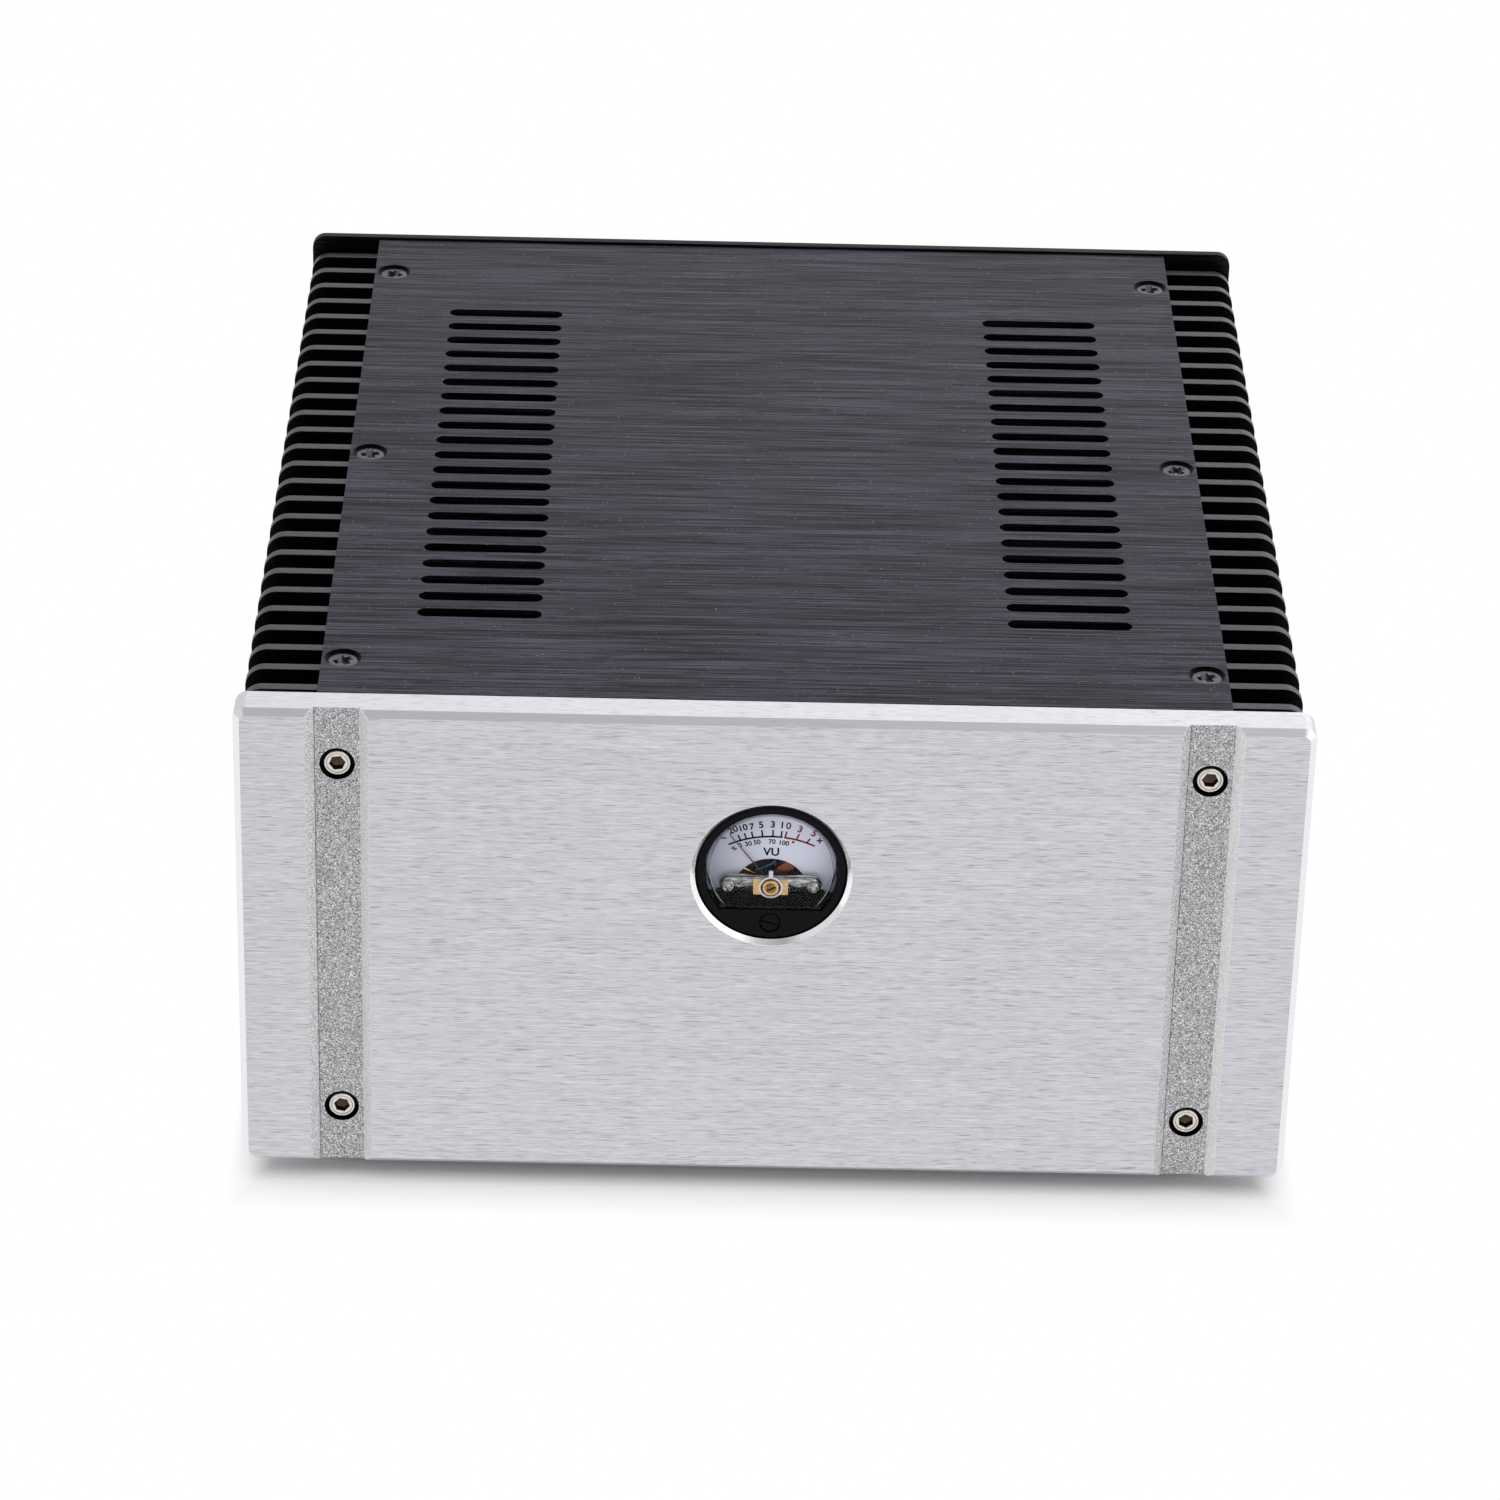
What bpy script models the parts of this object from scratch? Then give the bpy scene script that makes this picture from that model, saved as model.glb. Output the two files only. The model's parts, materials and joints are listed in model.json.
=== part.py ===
# Stereo power amplifier in a heat-sink case, with a round level meter in its front panel.
# Metres: +X to the right seen from the front, +Y to the back, +Z up. The origin is on the
# ground, under the middle of the whole amplifier.

import math

import bmesh
import bpy

# Shared fits and fineness
GAP = 0.0003  # air between pieces that touch on the real thing
OVERRUN = 0.002  # how far a cut runs past the face that it opens
FINE = 48  # points round a large circle
ROUND = 24
MEDIUM = 16
SMALL = 12
TINY = 8
ARC_STEPS = 3  # edges in a quarter circle
SLOT_STEPS = 2
SMOOTH_ANGLE = math.radians(40)

# Case
PANEL_WIDTH = 0.320
PANEL_HEIGHT = 0.158
PANEL_THICK = 0.012
PANEL_CHAMFER = 0.002
PANEL_CORNER = 0.004
PLATE_THICK = 0.003  # top cover and bottom plate
CASE_LENGTH = 0.328  # heat sinks, cover and bottom plate, front to back
CASE_INNER = 0.2468  # between the two heat sinks
REAR_OVERHANG = 0.0007  # rear panel over the cover
REAR_INSET = 0.001  # rear panel's sides inside the front panel's
REAR_THICK = 0.003
REAR_CORNER = 0.0045
COVER_OVERHANG = 0.00035

# Grooves and socket cap screws of the front panel
GROOVE_FLOOR = 0.01333
GROOVE_RUN = 0.00273
GROOVE_DEPTH = 0.00285
PANEL_SCREW_EDGE = 0.019  # from the panel's top and bottom edges
CAP_HEAD_RADIUS = 0.00425
CAP_HEAD_HEIGHT = 0.005
CAP_HEAD_SUNK = 0.0004  # below the groove's floor
CAP_HEAD_CHAMFER = 0.0004
CAP_SOCKET_RADIUS = 0.0023
CAP_SOCKET_DEPTH = 0.0025
COUNTERBORE_RADIUS = 0.00525
SHANK_RADIUS = 0.0022
SHANK_GRIP = 0.010  # length of a screw inside the heat sink

# Heat sinks
SINK_BASE = 0.012
FIN_PITCH = 0.0125
FIN_THICK = 0.0037
FIN_LENGTH = 0.0233
FIN_CORNER = 0.006

# Cover screws and vent slots
COVER_SCREW_FRONT = 0.0217  # first pair behind the cover's front edge
COVER_SCREW_REAR = 0.0266  # last pair before its rear edge
SUNK_HEAD_RADIUS = 0.00455
COUNTERSINK_RADIUS = 0.0053
CROSS_LENGTH = 0.0052
CROSS_WIDTH = 0.0011
CROSS_DEPTH = 0.0014
SLOT_LENGTH = 0.0379
SLOT_WIDTH = 0.005
SLOT_PITCH = 0.01086
SLOT_MIDDLE = 0.0898  # of a column, from the case's middle
SLOT_MARGIN = 0.0524  # first slot behind the cover's front edge

# Feet
FOOT_HEIGHT = 0.007
FOOT_RADIUS = 0.014
FOOT_TAPER = 0.0015
FOOT_DIMPLE_RADIUS = 0.006
FOOT_DIMPLE_DEPTH = 0.003
FOOT_INSET_X = 0.030  # from the heat sink's inner face
FOOT_INSET_Y = 0.028

# Transformer
COIL_RADIUS = 0.0575
COIL_HOLE_RADIUS = 0.018
COIL_HEIGHT = 0.052
COIL_CORNER = 0.009
COIL_MIDDLE = 0.085  # behind the case's front edge
WASHER_RADIUS = 0.030
WASHER_THICK = 0.002
BOLT_RADIUS = 0.003
BOLT_HEAD_RADIUS = 0.0058
BOLT_HEAD_HEIGHT = 0.004

# Supply board
SUPPLY_WIDTH = 0.150
SUPPLY_LENGTH = 0.078
SUPPLY_REAR = 0.042  # board's rear edge before the case's rear edge
BOARD_THICK = 0.0016
STANDOFF_HEIGHT = 0.010
STANDOFF_RADIUS = 0.003
STANDOFF_INSET = 0.006
CAN_RADIUS = 0.0225
CAN_HEIGHT = 0.070
CAN_BEAD = 0.0012
CAN_BEAD_DROP = 0.006
CAN_SPACING = 0.054
CAN_FRONT = 0.028  # cans behind the board's front edge
BRIDGE_SIDE = 0.026
BRIDGE_HEIGHT = 0.009
BRIDGE_REAR = 0.018  # rectifier before the board's rear edge

# Amplifier boards and output transistors
AMP_LENGTH = 0.150
AMP_HEIGHT = 0.070
AMP_LOW = 0.018  # board's lower edge over the bottom plate
AMP_MIDDLE = 0.160  # behind the case's front edge
AMP_STANDOFF = 0.014
DRIVER_HEIGHT = 0.012
DRIVER_WIDTH = 0.010
DRIVER_DEPTH = 0.008
AMP_CAN_RADIUS = 0.005
AMP_CAN_HEIGHT = 0.012
DRIVER_COUNT = 4
DEVICE_WIDTH = 0.0158
DEVICE_HEIGHT = 0.0208
DEVICE_THICK = 0.005
DEVICE_SPACING = 0.070
DEVICE_LIFT = 0.006  # over the amplifier board's top edge
LEAD_WIDTH = 0.0012
LEAD_THICK = 0.0006
LEAD_PITCH = 0.0054
LEAD_LENGTH = 0.014
DEVICE_HOLE_RADIUS = 0.0018
DEVICE_HOLE_DROP = 0.006

# Mains inlet, with fuse drawer and rocker
INLET_X = -0.078
INLET_HEIGHT = 0.060  # middle over the case's underside
INLET_WIDTH = 0.0275
INLET_TALL = 0.047
INLET_DEPTH = 0.024  # behind the rear panel's outer face, inwards
INLET_CORNER = 0.002
FLANGE_WIDTH = 0.048
FLANGE_TALL = 0.0515
FLANGE_THICK = 0.0025
FLANGE_CORNER = 0.006
SOCKET_WIDTH = 0.0245
SOCKET_TALL = 0.0168
SOCKET_DEPTH = 0.017
SOCKET_NOTCH = 0.0045
SOCKET_DROP = 0.0115
PIN_WIDTH = 0.002
PIN_TALL = 0.004
PIN_LENGTH = 0.0135
PIN_SPACING = 0.007
EARTH_RAISE = 0.0030
LIVE_DROP = 0.0012
DRAWER_WIDTH = 0.0234
DRAWER_TALL = 0.0074
DRAWER_DEPTH = 0.021
DRAWER_RAISE = 0.0034
DRAWER_WALL = 0.0012
DRAWER_FACE = 0.0022
DRAWER_GRIP = 0.010
DRAWER_GRIP_DEPTH = 0.0014
FUSE_LENGTH = 0.020
FUSE_RADIUS = 0.0026
FUSE_GLASS_RADIUS = 0.0023
FUSE_CAP_LENGTH = 0.005
ROCKER_WIDTH = 0.0190
ROCKER_TALL = 0.0104
ROCKER_RAISE = 0.0152
ROCKER_WINDOW_CLEAR = 0.0012  # over the rocker, above and below, for its swing
ROCKER_PIVOT = 0.004  # behind the flange's outer face
ROCKER_VALLEY = 0.0042
ROCKER_PEAK = 0.0056
ROCKER_SKIRT = 0.002
ROCKER_KEEL = 0.0045
ROCKER_KEEL_HALF = 0.0025
ROCKER_REST = math.radians(-10)
ROCKER_POCKET = 0.012

# Input jacks
JACK_X = 0.092
JACK_SPACING = 0.024
JACK_HEIGHT = 0.118
JACK_BODY_RADIUS = 0.0046
JACK_FLANGE_RADIUS = 0.0058
JACK_FLANGE_THICK = 0.0015
JACK_BARREL_RADIUS = 0.00415
JACK_BARREL_LENGTH = 0.0095
JACK_HOLE_RADIUS = 0.0017
JACK_TAIL = 0.009

# Speaker binding posts
POST_X = 0.066  # middle of the four
POST_PAIR = 0.019
POST_PAIR_SPACING = 0.050
POST_HEIGHT = 0.062
POST_FLANGE_RADIUS = 0.0072
POST_FLANGE = 0.0028
POST_BOSS_RADIUS = 0.004
POST_STUD_RADIUS = 0.0026
POST_BORE_RADIUS = 0.002
POST_BORE_DEPTH = 0.012
POST_NUT_RADIUS = 0.006
POST_NUT_THICK = 0.003
POST_TAIL = 0.012
POST_WASHER = 0.0014
POST_WASHER_RADIUS = 0.006
POST_CAP_RADIUS = 0.0066
POST_CAP_LENGTH = 0.0155
POST_CAP_RIDGE = 0.0004
POST_CAP_RIDGES = 8
POST_STUD_SHORT = 0.001  # stud's end inside the cap's end

# Level meter, from its rim's front plane
METER_SIZE = 0.045
METER_RECESS = 0.0015  # behind the panel's face
METER_DROP = 0.0528  # middle below the panel's top edge
METER_CHAMFER = 0.00145
RIM_WIDTH = 0.0024
RIM_DEPTH = 0.003
MASK_THICK = 0.002
MASK_DROP = 0.0128  # mask's edge below the meter's middle
WINDOW_SETBACK = 0.0005
WINDOW_THICK = 0.0012
DIAL_DEPTH = 0.0075
DIAL_THICK = 0.0008
DIAL_CUT = 0.0096  # dial's lower edge below the meter's middle
ARCH_RADIUS = 0.0114
ARCH_DROP = 0.01066
CASE_DEPTH = 0.030
CHAMBER_RADIUS = 0.0155
CHAMBER_DEPTH = 0.0225
TERMINAL_RADIUS = 0.0012
TERMINAL_LENGTH = 0.007
TERMINAL_SPACING = 0.012
PIVOT_DROP = 0.007
BAR_LENGTH = 0.0308
BAR_TALL = 0.0048
BAR_FRONT = 0.0042
BAR_THICK = 0.0014
BAR_POST_RADIUS = 0.0022
BAR_POST_X = 0.0128
SADDLE_WIDTH = 0.0105
SADDLE_TALL = 0.0052
SADDLE_THICK = 0.0017
BOSS_RADIUS = 0.0027
BOSS_HEIGHT = 0.001
JEWEL_RADIUS = 0.0016
JEWEL_HEIGHT = 0.0006
JEWEL_SLOT = 0.0004
HUB_RADIUS = 0.0012
POINTER_FRONT = 0.0063
POINTER_THICK = 0.0003
POINTER_WIDTH = 0.00036
POINTER_LENGTH = 0.0206
POINTER_REST = math.radians(-37.7)
COIL_ANGLE = math.radians(50)
COIL_INNER = 0.0035
COIL_OUTER = 0.0081
COIL_WALL = 0.0008
COIL_WIDE = 0.0034
COIL_FRONT = 0.0089
COIL_BACK = 0.0167
COIL_ARM_WIDTH = 0.0016
WEIGHT_ANGLE = math.radians(-65)
WEIGHT_LENGTH = 0.0085
TAIL_WEIGHT_LENGTH = 0.0045
WEIGHT_WIDTH = 0.0006
MAGNET_THICK = 0.004
CORE_INNER = 0.005
CORE_OUTER = 0.007
CORE_FRONT = 0.0101
CORE_BACK = 0.0155
CORE_START = math.radians(27)
CORE_END = math.radians(166)
CORE_FOOT = math.radians(154)
LEVER_RING = 0.0038
LEVER_THICK = 0.0005
TAB_WIDTH = 0.0013
TAB_REACH = 0.0058
LEVER_ARM = 0.0016
FORK_START = 0.0072
FORK_REACH = 0.0106
FORK_WALL = 0.0008
PIN_OFFSET = 0.0012
PIN_RADIUS = 0.0005
ZERO_DROP = 0.0172
ZERO_RADIUS = 0.003
ZERO_SETBACK = 0.0002
ZERO_HEAD = 0.0007
ZERO_STEM_RADIUS = 0.0012
ZERO_COLLAR_RADIUS = 0.0022
ZERO_COLLAR = 0.0006
ZERO_SLOT = 0.0007
ZERO_SLOT_DEPTH = 0.0004
ZERO_SLOT_TILT = math.radians(-14)
CLAMP_WIDTH = 0.078
CLAMP_TALL = 0.052
CLAMP_THICK = 0.003
CLAMP_HOLE_RADIUS = 0.0016
CLAMP_HOLE_X = 0.033

# Places worked out from the sizes
UNDERSIDE = FOOT_HEIGHT + GAP
TOPSIDE = UNDERSIDE + PANEL_HEIGHT
POST_REACH = GAP + POST_FLANGE + GAP + POST_WASHER + GAP + POST_CAP_LENGTH
FRONT = -(PANEL_THICK + GAP + CASE_LENGTH + GAP + REAR_THICK + POST_REACH) / 2
CASE_FRONT = FRONT + PANEL_THICK + GAP
CASE_BACK = CASE_FRONT + CASE_LENGTH
REAR_FRONT = CASE_BACK + GAP
REAR_BACK = REAR_FRONT + REAR_THICK
FLOOR = UNDERSIDE + PLATE_THICK + GAP  # where pieces stand on the bottom plate
SINK_MIDDLE = CASE_INNER / 2 + SINK_BASE / 2  # screws run in the middle of the base
COVER_WIDTH = CASE_INNER + 2 * SINK_BASE + 2 * COVER_OVERHANG
METER_PLACE = (0, FRONT + METER_RECESS, TOPSIDE - METER_DROP)
HOLE_RADIUS = SHANK_RADIUS + GAP

AXES = {
    "X": lambda u, v, along: (along, u, v),
    "Y": lambda u, v, along: (u, along, v),
    "Z": lambda u, v, along: (u, v, along),
}


# Outlines, as points in the plane across an axis
def circle(radius, count, u=0, v=0):
    turns = [2 * math.pi * i / count for i in range(count)]
    return [(u + radius * math.cos(a), v + radius * math.sin(a)) for a in turns]


def rectangle(width, height, u=0, v=0):
    corners = ((1, 1), (-1, 1), (-1, -1), (1, -1))
    return [(u + a * width / 2, v + b * height / 2) for a, b in corners]


def rounded(width, height, radius, u=0, v=0):
    points = []
    for quarter, (a, b) in enumerate(((1, 1), (-1, 1), (-1, -1), (1, -1))):
        middle_u = u + a * (width / 2 - radius)
        middle_v = v + b * (height / 2 - radius)
        for step in range(ARC_STEPS + 1):
            turn = (quarter + step / ARC_STEPS) * math.pi / 2
            points.append((middle_u + radius * math.cos(turn), middle_v + radius * math.sin(turn)))
    return points


def stadium(length, width, u=0, v=0):
    points = []
    for side in (1, -1):
        for step in range(2 * SLOT_STEPS + 1):
            turn = (step / SLOT_STEPS - 1) * math.pi / 2
            across = (length - width) / 2 + width / 2 * math.cos(turn)
            points.append((u + side * across, v + side * width / 2 * math.sin(turn)))
    return points


def sector(inner, outer, start, end, count):
    """Part of a ring; its angles run clockwise from straight up, as the needle's do."""
    turns = [start + (end - start) * i / count for i in range(count + 1)]
    far = [(outer * math.sin(a), outer * math.cos(a)) for a in turns]
    near = [(inner * math.sin(a), inner * math.cos(a)) for a in reversed(turns)]
    return far + near


def spoke(start, end, width, angle):
    """A bar from one distance to another, at an angle clockwise from straight up."""
    corners = ((-width / 2, start), (width / 2, start), (width / 2, end), (-width / 2, end))
    cos, sin = math.cos(angle), math.sin(angle)
    return [(a * cos + b * sin, b * cos - a * sin) for a, b in corners]


def moved(outline, u=0, v=0):
    return [(a + u, b + v) for a, b in outline]


# Shapes
def lofted(sections, axis="Y", closed=False):
    """A closed shape through outlines with the same number of points, each with its place on the axis."""
    shape = bmesh.new()
    rings = []
    for outline, along in sections:
        rings.append([shape.verts.new(AXES[axis](u, v, along)) for u, v in outline])
    pairs = list(zip(rings, rings[1:]))
    if closed:
        pairs.append((rings[-1], rings[0]))
    else:
        shape.faces.new(rings[0])
        shape.faces.new(rings[-1])
    for near, far in pairs:
        for i in range(len(near)):
            j = (i + 1) % len(near)
            shape.faces.new((near[i], near[j], far[j], far[i]))
    bmesh.ops.recalc_face_normals(shape, faces=shape.faces)
    return shape


def prism(outline, low, high, axis="Y"):
    return lofted([(outline, low), (outline, high)], axis)


def turned(profile, count, axis="Y", u=0, v=0, closed=False):
    """A round shape from a profile of radius and place along the axis."""
    return lofted([(circle(r, count, u, v), along) for r, along in profile], axis, closed)


def box(low, high):
    width, depth = high[0] - low[0], high[1] - low[1]
    middle = ((low[0] + high[0]) / 2, (low[1] + high[1]) / 2)
    return prism(rectangle(width, depth, *middle), low[2], high[2], "Z")


def gathered(shapes):
    """Separate shapes held as one, for one cut."""
    whole = bmesh.new()
    for shape in shapes:
        mesh = bpy.data.meshes.new("shape")
        shape.to_mesh(mesh)
        shape.free()
        whole.from_mesh(mesh)
        bpy.data.meshes.remove(mesh)
    return whole


def placed_object(name, shape):
    mesh = bpy.data.meshes.new(name)
    shape.to_mesh(mesh)
    shape.free()
    thing = bpy.data.objects.new(name, mesh)
    bpy.context.scene.collection.objects.link(thing)
    return thing


def combined(shape, tools, operation):
    body = placed_object("body", shape)
    tool = placed_object("tool", gathered(tools))
    modifier = body.modifiers.new("combine", "BOOLEAN")
    modifier.operation = operation
    modifier.object = tool
    modifier.solver = "EXACT"
    result = bmesh.new()
    result.from_object(body, bpy.context.evaluated_depsgraph_get())
    for thing in (body, tool):
        mesh = thing.data
        bpy.data.objects.remove(thing)
        bpy.data.meshes.remove(mesh)
    return result


def cut(shape, *tools):
    return combined(shape, tools, "DIFFERENCE")


def fused(shape, *others):
    for other in others:
        shape = combined(shape, [other], "UNION")
    return shape


def finish(name, colour, roughness, metallic=0.0, alpha=1.0):
    surface = bpy.data.materials.new(name)
    surface.use_nodes = True
    shader = surface.node_tree.nodes["Principled BSDF"]
    shader.inputs["Base Color"].default_value = (*colour, 1.0)
    shader.inputs["Roughness"].default_value = roughness
    shader.inputs["Metallic"].default_value = metallic
    shader.inputs["Alpha"].default_value = alpha
    return surface


def piece(name, shape, surface, place=(0, 0, 0), parent=None):
    thing = placed_object(name, shape)
    thing.data.materials.append(surface)
    thing.data.shade_smooth()
    thing.data.set_sharp_from_angle(angle=SMOOTH_ANGLE)
    thing.location = place
    thing.parent = parent
    return thing


def hinge_point(name, place, parent=None):
    """An empty on a joint's axis, which carries what moves there."""
    point = bpy.data.objects.new(name, None)
    point.location = place
    point.parent = parent
    bpy.context.scene.collection.objects.link(point)
    return point


# Case
def panel_screw_places():
    """Front screws: across, and up from the case's underside."""
    heights = (PANEL_SCREW_EDGE, PANEL_HEIGHT - PANEL_SCREW_EDGE)
    return [(side * SINK_MIDDLE, height) for side in (-1, 1) for height in heights]


def cover_screw_places():
    """Cover screws: across, and back from the cover's front edge."""
    last = CASE_LENGTH - COVER_SCREW_REAR
    rows = (COVER_SCREW_FRONT, (COVER_SCREW_FRONT + last) / 2, last)
    return [(side * SINK_MIDDLE, row) for side in (-1, 1) for row in rows]


def groove(middle):
    slope = GROOVE_RUN / GROOVE_DEPTH
    mouth = GROOVE_FLOOR / 2 + GROOVE_RUN + OVERRUN * slope
    floor = GROOVE_FLOOR / 2
    outline = [(-mouth, -OVERRUN), (mouth, -OVERRUN), (floor, GROOVE_DEPTH), (-floor, GROOVE_DEPTH)]
    return prism(moved(outline, middle), -OVERRUN, PANEL_HEIGHT + OVERRUN, "Z")


def front_panel(surface):
    middle = PANEL_HEIGHT / 2
    inner_corner = PANEL_CORNER - PANEL_CHAMFER
    face_width = PANEL_WIDTH - 2 * PANEL_CHAMFER
    face_height = PANEL_HEIGHT - 2 * PANEL_CHAMFER
    full = rounded(PANEL_WIDTH, PANEL_HEIGHT, PANEL_CORNER, 0, middle)
    face = rounded(face_width, face_height, inner_corner, 0, middle)
    panel = lofted([(face, 0), (full, PANEL_CHAMFER), (full, PANEL_THICK)])
    past = PANEL_THICK + OVERRUN
    panel = cut(panel, *(groove(side * SINK_MIDDLE) for side in (-1, 1)))
    seat = GROOVE_DEPTH + CAP_HEAD_SUNK + CAP_HEAD_HEIGHT + GAP
    bore = [(COUNTERBORE_RADIUS, -OVERRUN), (COUNTERBORE_RADIUS, seat)]
    bore += [(HOLE_RADIUS, seat), (HOLE_RADIUS, past)]
    holes = [turned(bore, MEDIUM, u=x, v=z) for x, z in panel_screw_places()]
    bore_radius = METER_SIZE / 2 + GAP
    mouth = bore_radius + METER_CHAMFER + OVERRUN
    meter = [(mouth, -OVERRUN), (bore_radius, METER_CHAMFER), (bore_radius, past)]
    holes.append(turned(meter, FINE, v=PANEL_HEIGHT - METER_DROP))
    piece("front_panel", cut(panel, *holes), surface, (0, FRONT, UNDERSIDE))


def slot_places():
    count = int((CASE_LENGTH - 2 * SLOT_MARGIN) / SLOT_PITCH) + 1
    return [SLOT_MARGIN + i * SLOT_PITCH for i in range(count)]


def top_cover(surface):
    cover = box((-COVER_WIDTH / 2, 0, 0), (COVER_WIDTH / 2, CASE_LENGTH, PLATE_THICK))
    past = PLATE_THICK + OVERRUN
    tools = []
    for side in (-1, 1):
        for back in slot_places():
            outline = stadium(SLOT_LENGTH, SLOT_WIDTH, side * SLOT_MIDDLE, back)
            tools.append(prism(outline, -OVERRUN, past, "Z"))
    cone = COUNTERSINK_RADIUS - HOLE_RADIUS
    profile = [(HOLE_RADIUS, -OVERRUN), (HOLE_RADIUS, PLATE_THICK - cone)]
    profile += [(COUNTERSINK_RADIUS + OVERRUN, past)]
    tools += [turned(profile, MEDIUM, "Z", x, y) for x, y in cover_screw_places()]
    piece("top_cover", cut(cover, *tools), surface, (0, CASE_FRONT, TOPSIDE - PLATE_THICK))


def bottom_plate(surface):
    plate = box((-COVER_WIDTH / 2, 0, 0), (COVER_WIDTH / 2, CASE_LENGTH, PLATE_THICK))
    past = PLATE_THICK + OVERRUN
    hole = turned([(BOLT_RADIUS + GAP, -OVERRUN), (BOLT_RADIUS + GAP, past)], SMALL, "Z", 0, COIL_MIDDLE)
    piece("bottom_plate", cut(plate, hole), surface, (0, CASE_FRONT, UNDERSIDE))


def comb():
    """Heat sink seen from above, fins to +X."""
    count = int((CASE_LENGTH - FIN_THICK) / FIN_PITCH) + 1
    margin = (CASE_LENGTH - (count - 1) * FIN_PITCH - FIN_THICK) / 2
    points = [(0, CASE_LENGTH), (0, 0), (SINK_BASE, 0)]
    for i in range(count):
        near = margin + i * FIN_PITCH
        far = near + FIN_THICK
        tip = SINK_BASE + FIN_LENGTH
        points += [(SINK_BASE, near), (tip, near), (tip, far), (SINK_BASE, far)]
    points.append((SINK_BASE, CASE_LENGTH))
    return points


def heat_sink(name, side, surface):
    height = PANEL_HEIGHT - 2 * (PLATE_THICK + GAP)
    reach = SINK_BASE + FIN_LENGTH
    block = prism([(side * x, y) for x, y in comb()], 0, height, "Z")
    outline = rounded(2 * reach, height, FIN_CORNER, 0, height / 2)
    sink = combined(block, [prism(outline, -OVERRUN, CASE_LENGTH + OVERRUN)], "INTERSECT")
    middle = side * SINK_BASE / 2
    deep = SHANK_GRIP + GAP
    holes = []
    for x, z in panel_screw_places():
        if x * side > 0:
            rise = z - PLATE_THICK - GAP
            holes.append(turned([(HOLE_RADIUS, -OVERRUN), (HOLE_RADIUS, deep)], TINY, u=middle, v=rise))
    for x, y in cover_screw_places():
        if x * side > 0:
            profile = [(HOLE_RADIUS, height - deep), (HOLE_RADIUS, height + OVERRUN)]
            holes.append(turned(profile, TINY, "Z", middle, y))
    piece(name, cut(sink, *holes), surface, (side * CASE_INNER / 2, CASE_FRONT, FLOOR))


def rear_panel(surface):
    width = PANEL_WIDTH - 2 * REAR_INSET
    height = PANEL_HEIGHT + REAR_OVERHANG
    panel = prism(rounded(width, height, REAR_CORNER, 0, height / 2), 0, REAR_THICK)
    past = REAR_THICK + OVERRUN
    inlet = rounded(INLET_WIDTH + 2 * GAP, INLET_TALL + 2 * GAP, INLET_CORNER, INLET_X, INLET_HEIGHT)
    tools = [prism(inlet, -OVERRUN, past)]
    for x in jack_places():
        radius = JACK_BODY_RADIUS + GAP
        tools.append(turned([(radius, -OVERRUN), (radius, past)], SMALL, u=x, v=JACK_HEIGHT))
    for x in post_places():
        radius = POST_BOSS_RADIUS + GAP
        tools.append(turned([(radius, -OVERRUN), (radius, past)], SMALL, u=x, v=POST_HEIGHT))
    piece("rear_panel", cut(panel, *tools), surface, (0, REAR_FRONT, UNDERSIDE))


def socket_cap_screws(surface):
    shank_end = PANEL_THICK - GROOVE_DEPTH - CAP_HEAD_SUNK + SHANK_GRIP
    rim = CAP_HEAD_RADIUS - CAP_HEAD_CHAMFER
    profile = [
        (rim, 0),
        (CAP_HEAD_RADIUS, CAP_HEAD_CHAMFER),
        (CAP_HEAD_RADIUS, CAP_HEAD_HEIGHT),
        (SHANK_RADIUS, CAP_HEAD_HEIGHT),
        (SHANK_RADIUS, shank_end),
    ]
    for number, (x, z) in enumerate(panel_screw_places(), 1):
        socket = turned([(CAP_SOCKET_RADIUS, -OVERRUN), (CAP_SOCKET_RADIUS, CAP_SOCKET_DEPTH)], 6)
        place = (x, FRONT + GROOVE_DEPTH + CAP_HEAD_SUNK, UNDERSIDE + z)
        piece(f"front_screw_{number}", cut(turned(profile, MEDIUM), socket), surface, place)


def countersunk_screws(surface):
    cone = SUNK_HEAD_RADIUS - SHANK_RADIUS
    sunk = COUNTERSINK_RADIUS - SUNK_HEAD_RADIUS - GAP
    end = PLATE_THICK - sunk + SHANK_GRIP
    profile = [(SHANK_RADIUS, -end), (SHANK_RADIUS, -cone), (SUNK_HEAD_RADIUS, 0)]
    half_length, half_width = CROSS_LENGTH / 2, CROSS_WIDTH / 2
    for number, (x, y) in enumerate(cover_screw_places(), 1):
        cross = fused(
            box((-half_length, -half_width, -CROSS_DEPTH), (half_length, half_width, OVERRUN)),
            box((-half_width, -half_length, -CROSS_DEPTH), (half_width, half_length, OVERRUN)),
        )
        place = (x, CASE_FRONT + y, TOPSIDE - sunk)
        piece(f"cover_screw_{number}", cut(turned(profile, MEDIUM, "Z"), cross), surface, place)


def feet(surface):
    top = FOOT_RADIUS
    bottom = FOOT_RADIUS - FOOT_TAPER
    dimple = [(FOOT_DIMPLE_RADIUS, FOOT_DIMPLE_DEPTH), (FOOT_DIMPLE_RADIUS, -OVERRUN)]
    number = 0
    for side in (-1, 1):
        for y in (CASE_FRONT + FOOT_INSET_Y, CASE_BACK - FOOT_INSET_Y):
            number += 1
            foot = cut(turned([(bottom, 0), (top, FOOT_HEIGHT)], ROUND, "Z"), turned(dimple, SMALL, "Z"))
            piece(f"foot_{number}", foot, surface, (side * (CASE_INNER / 2 - FOOT_INSET_X), y, 0))


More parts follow.
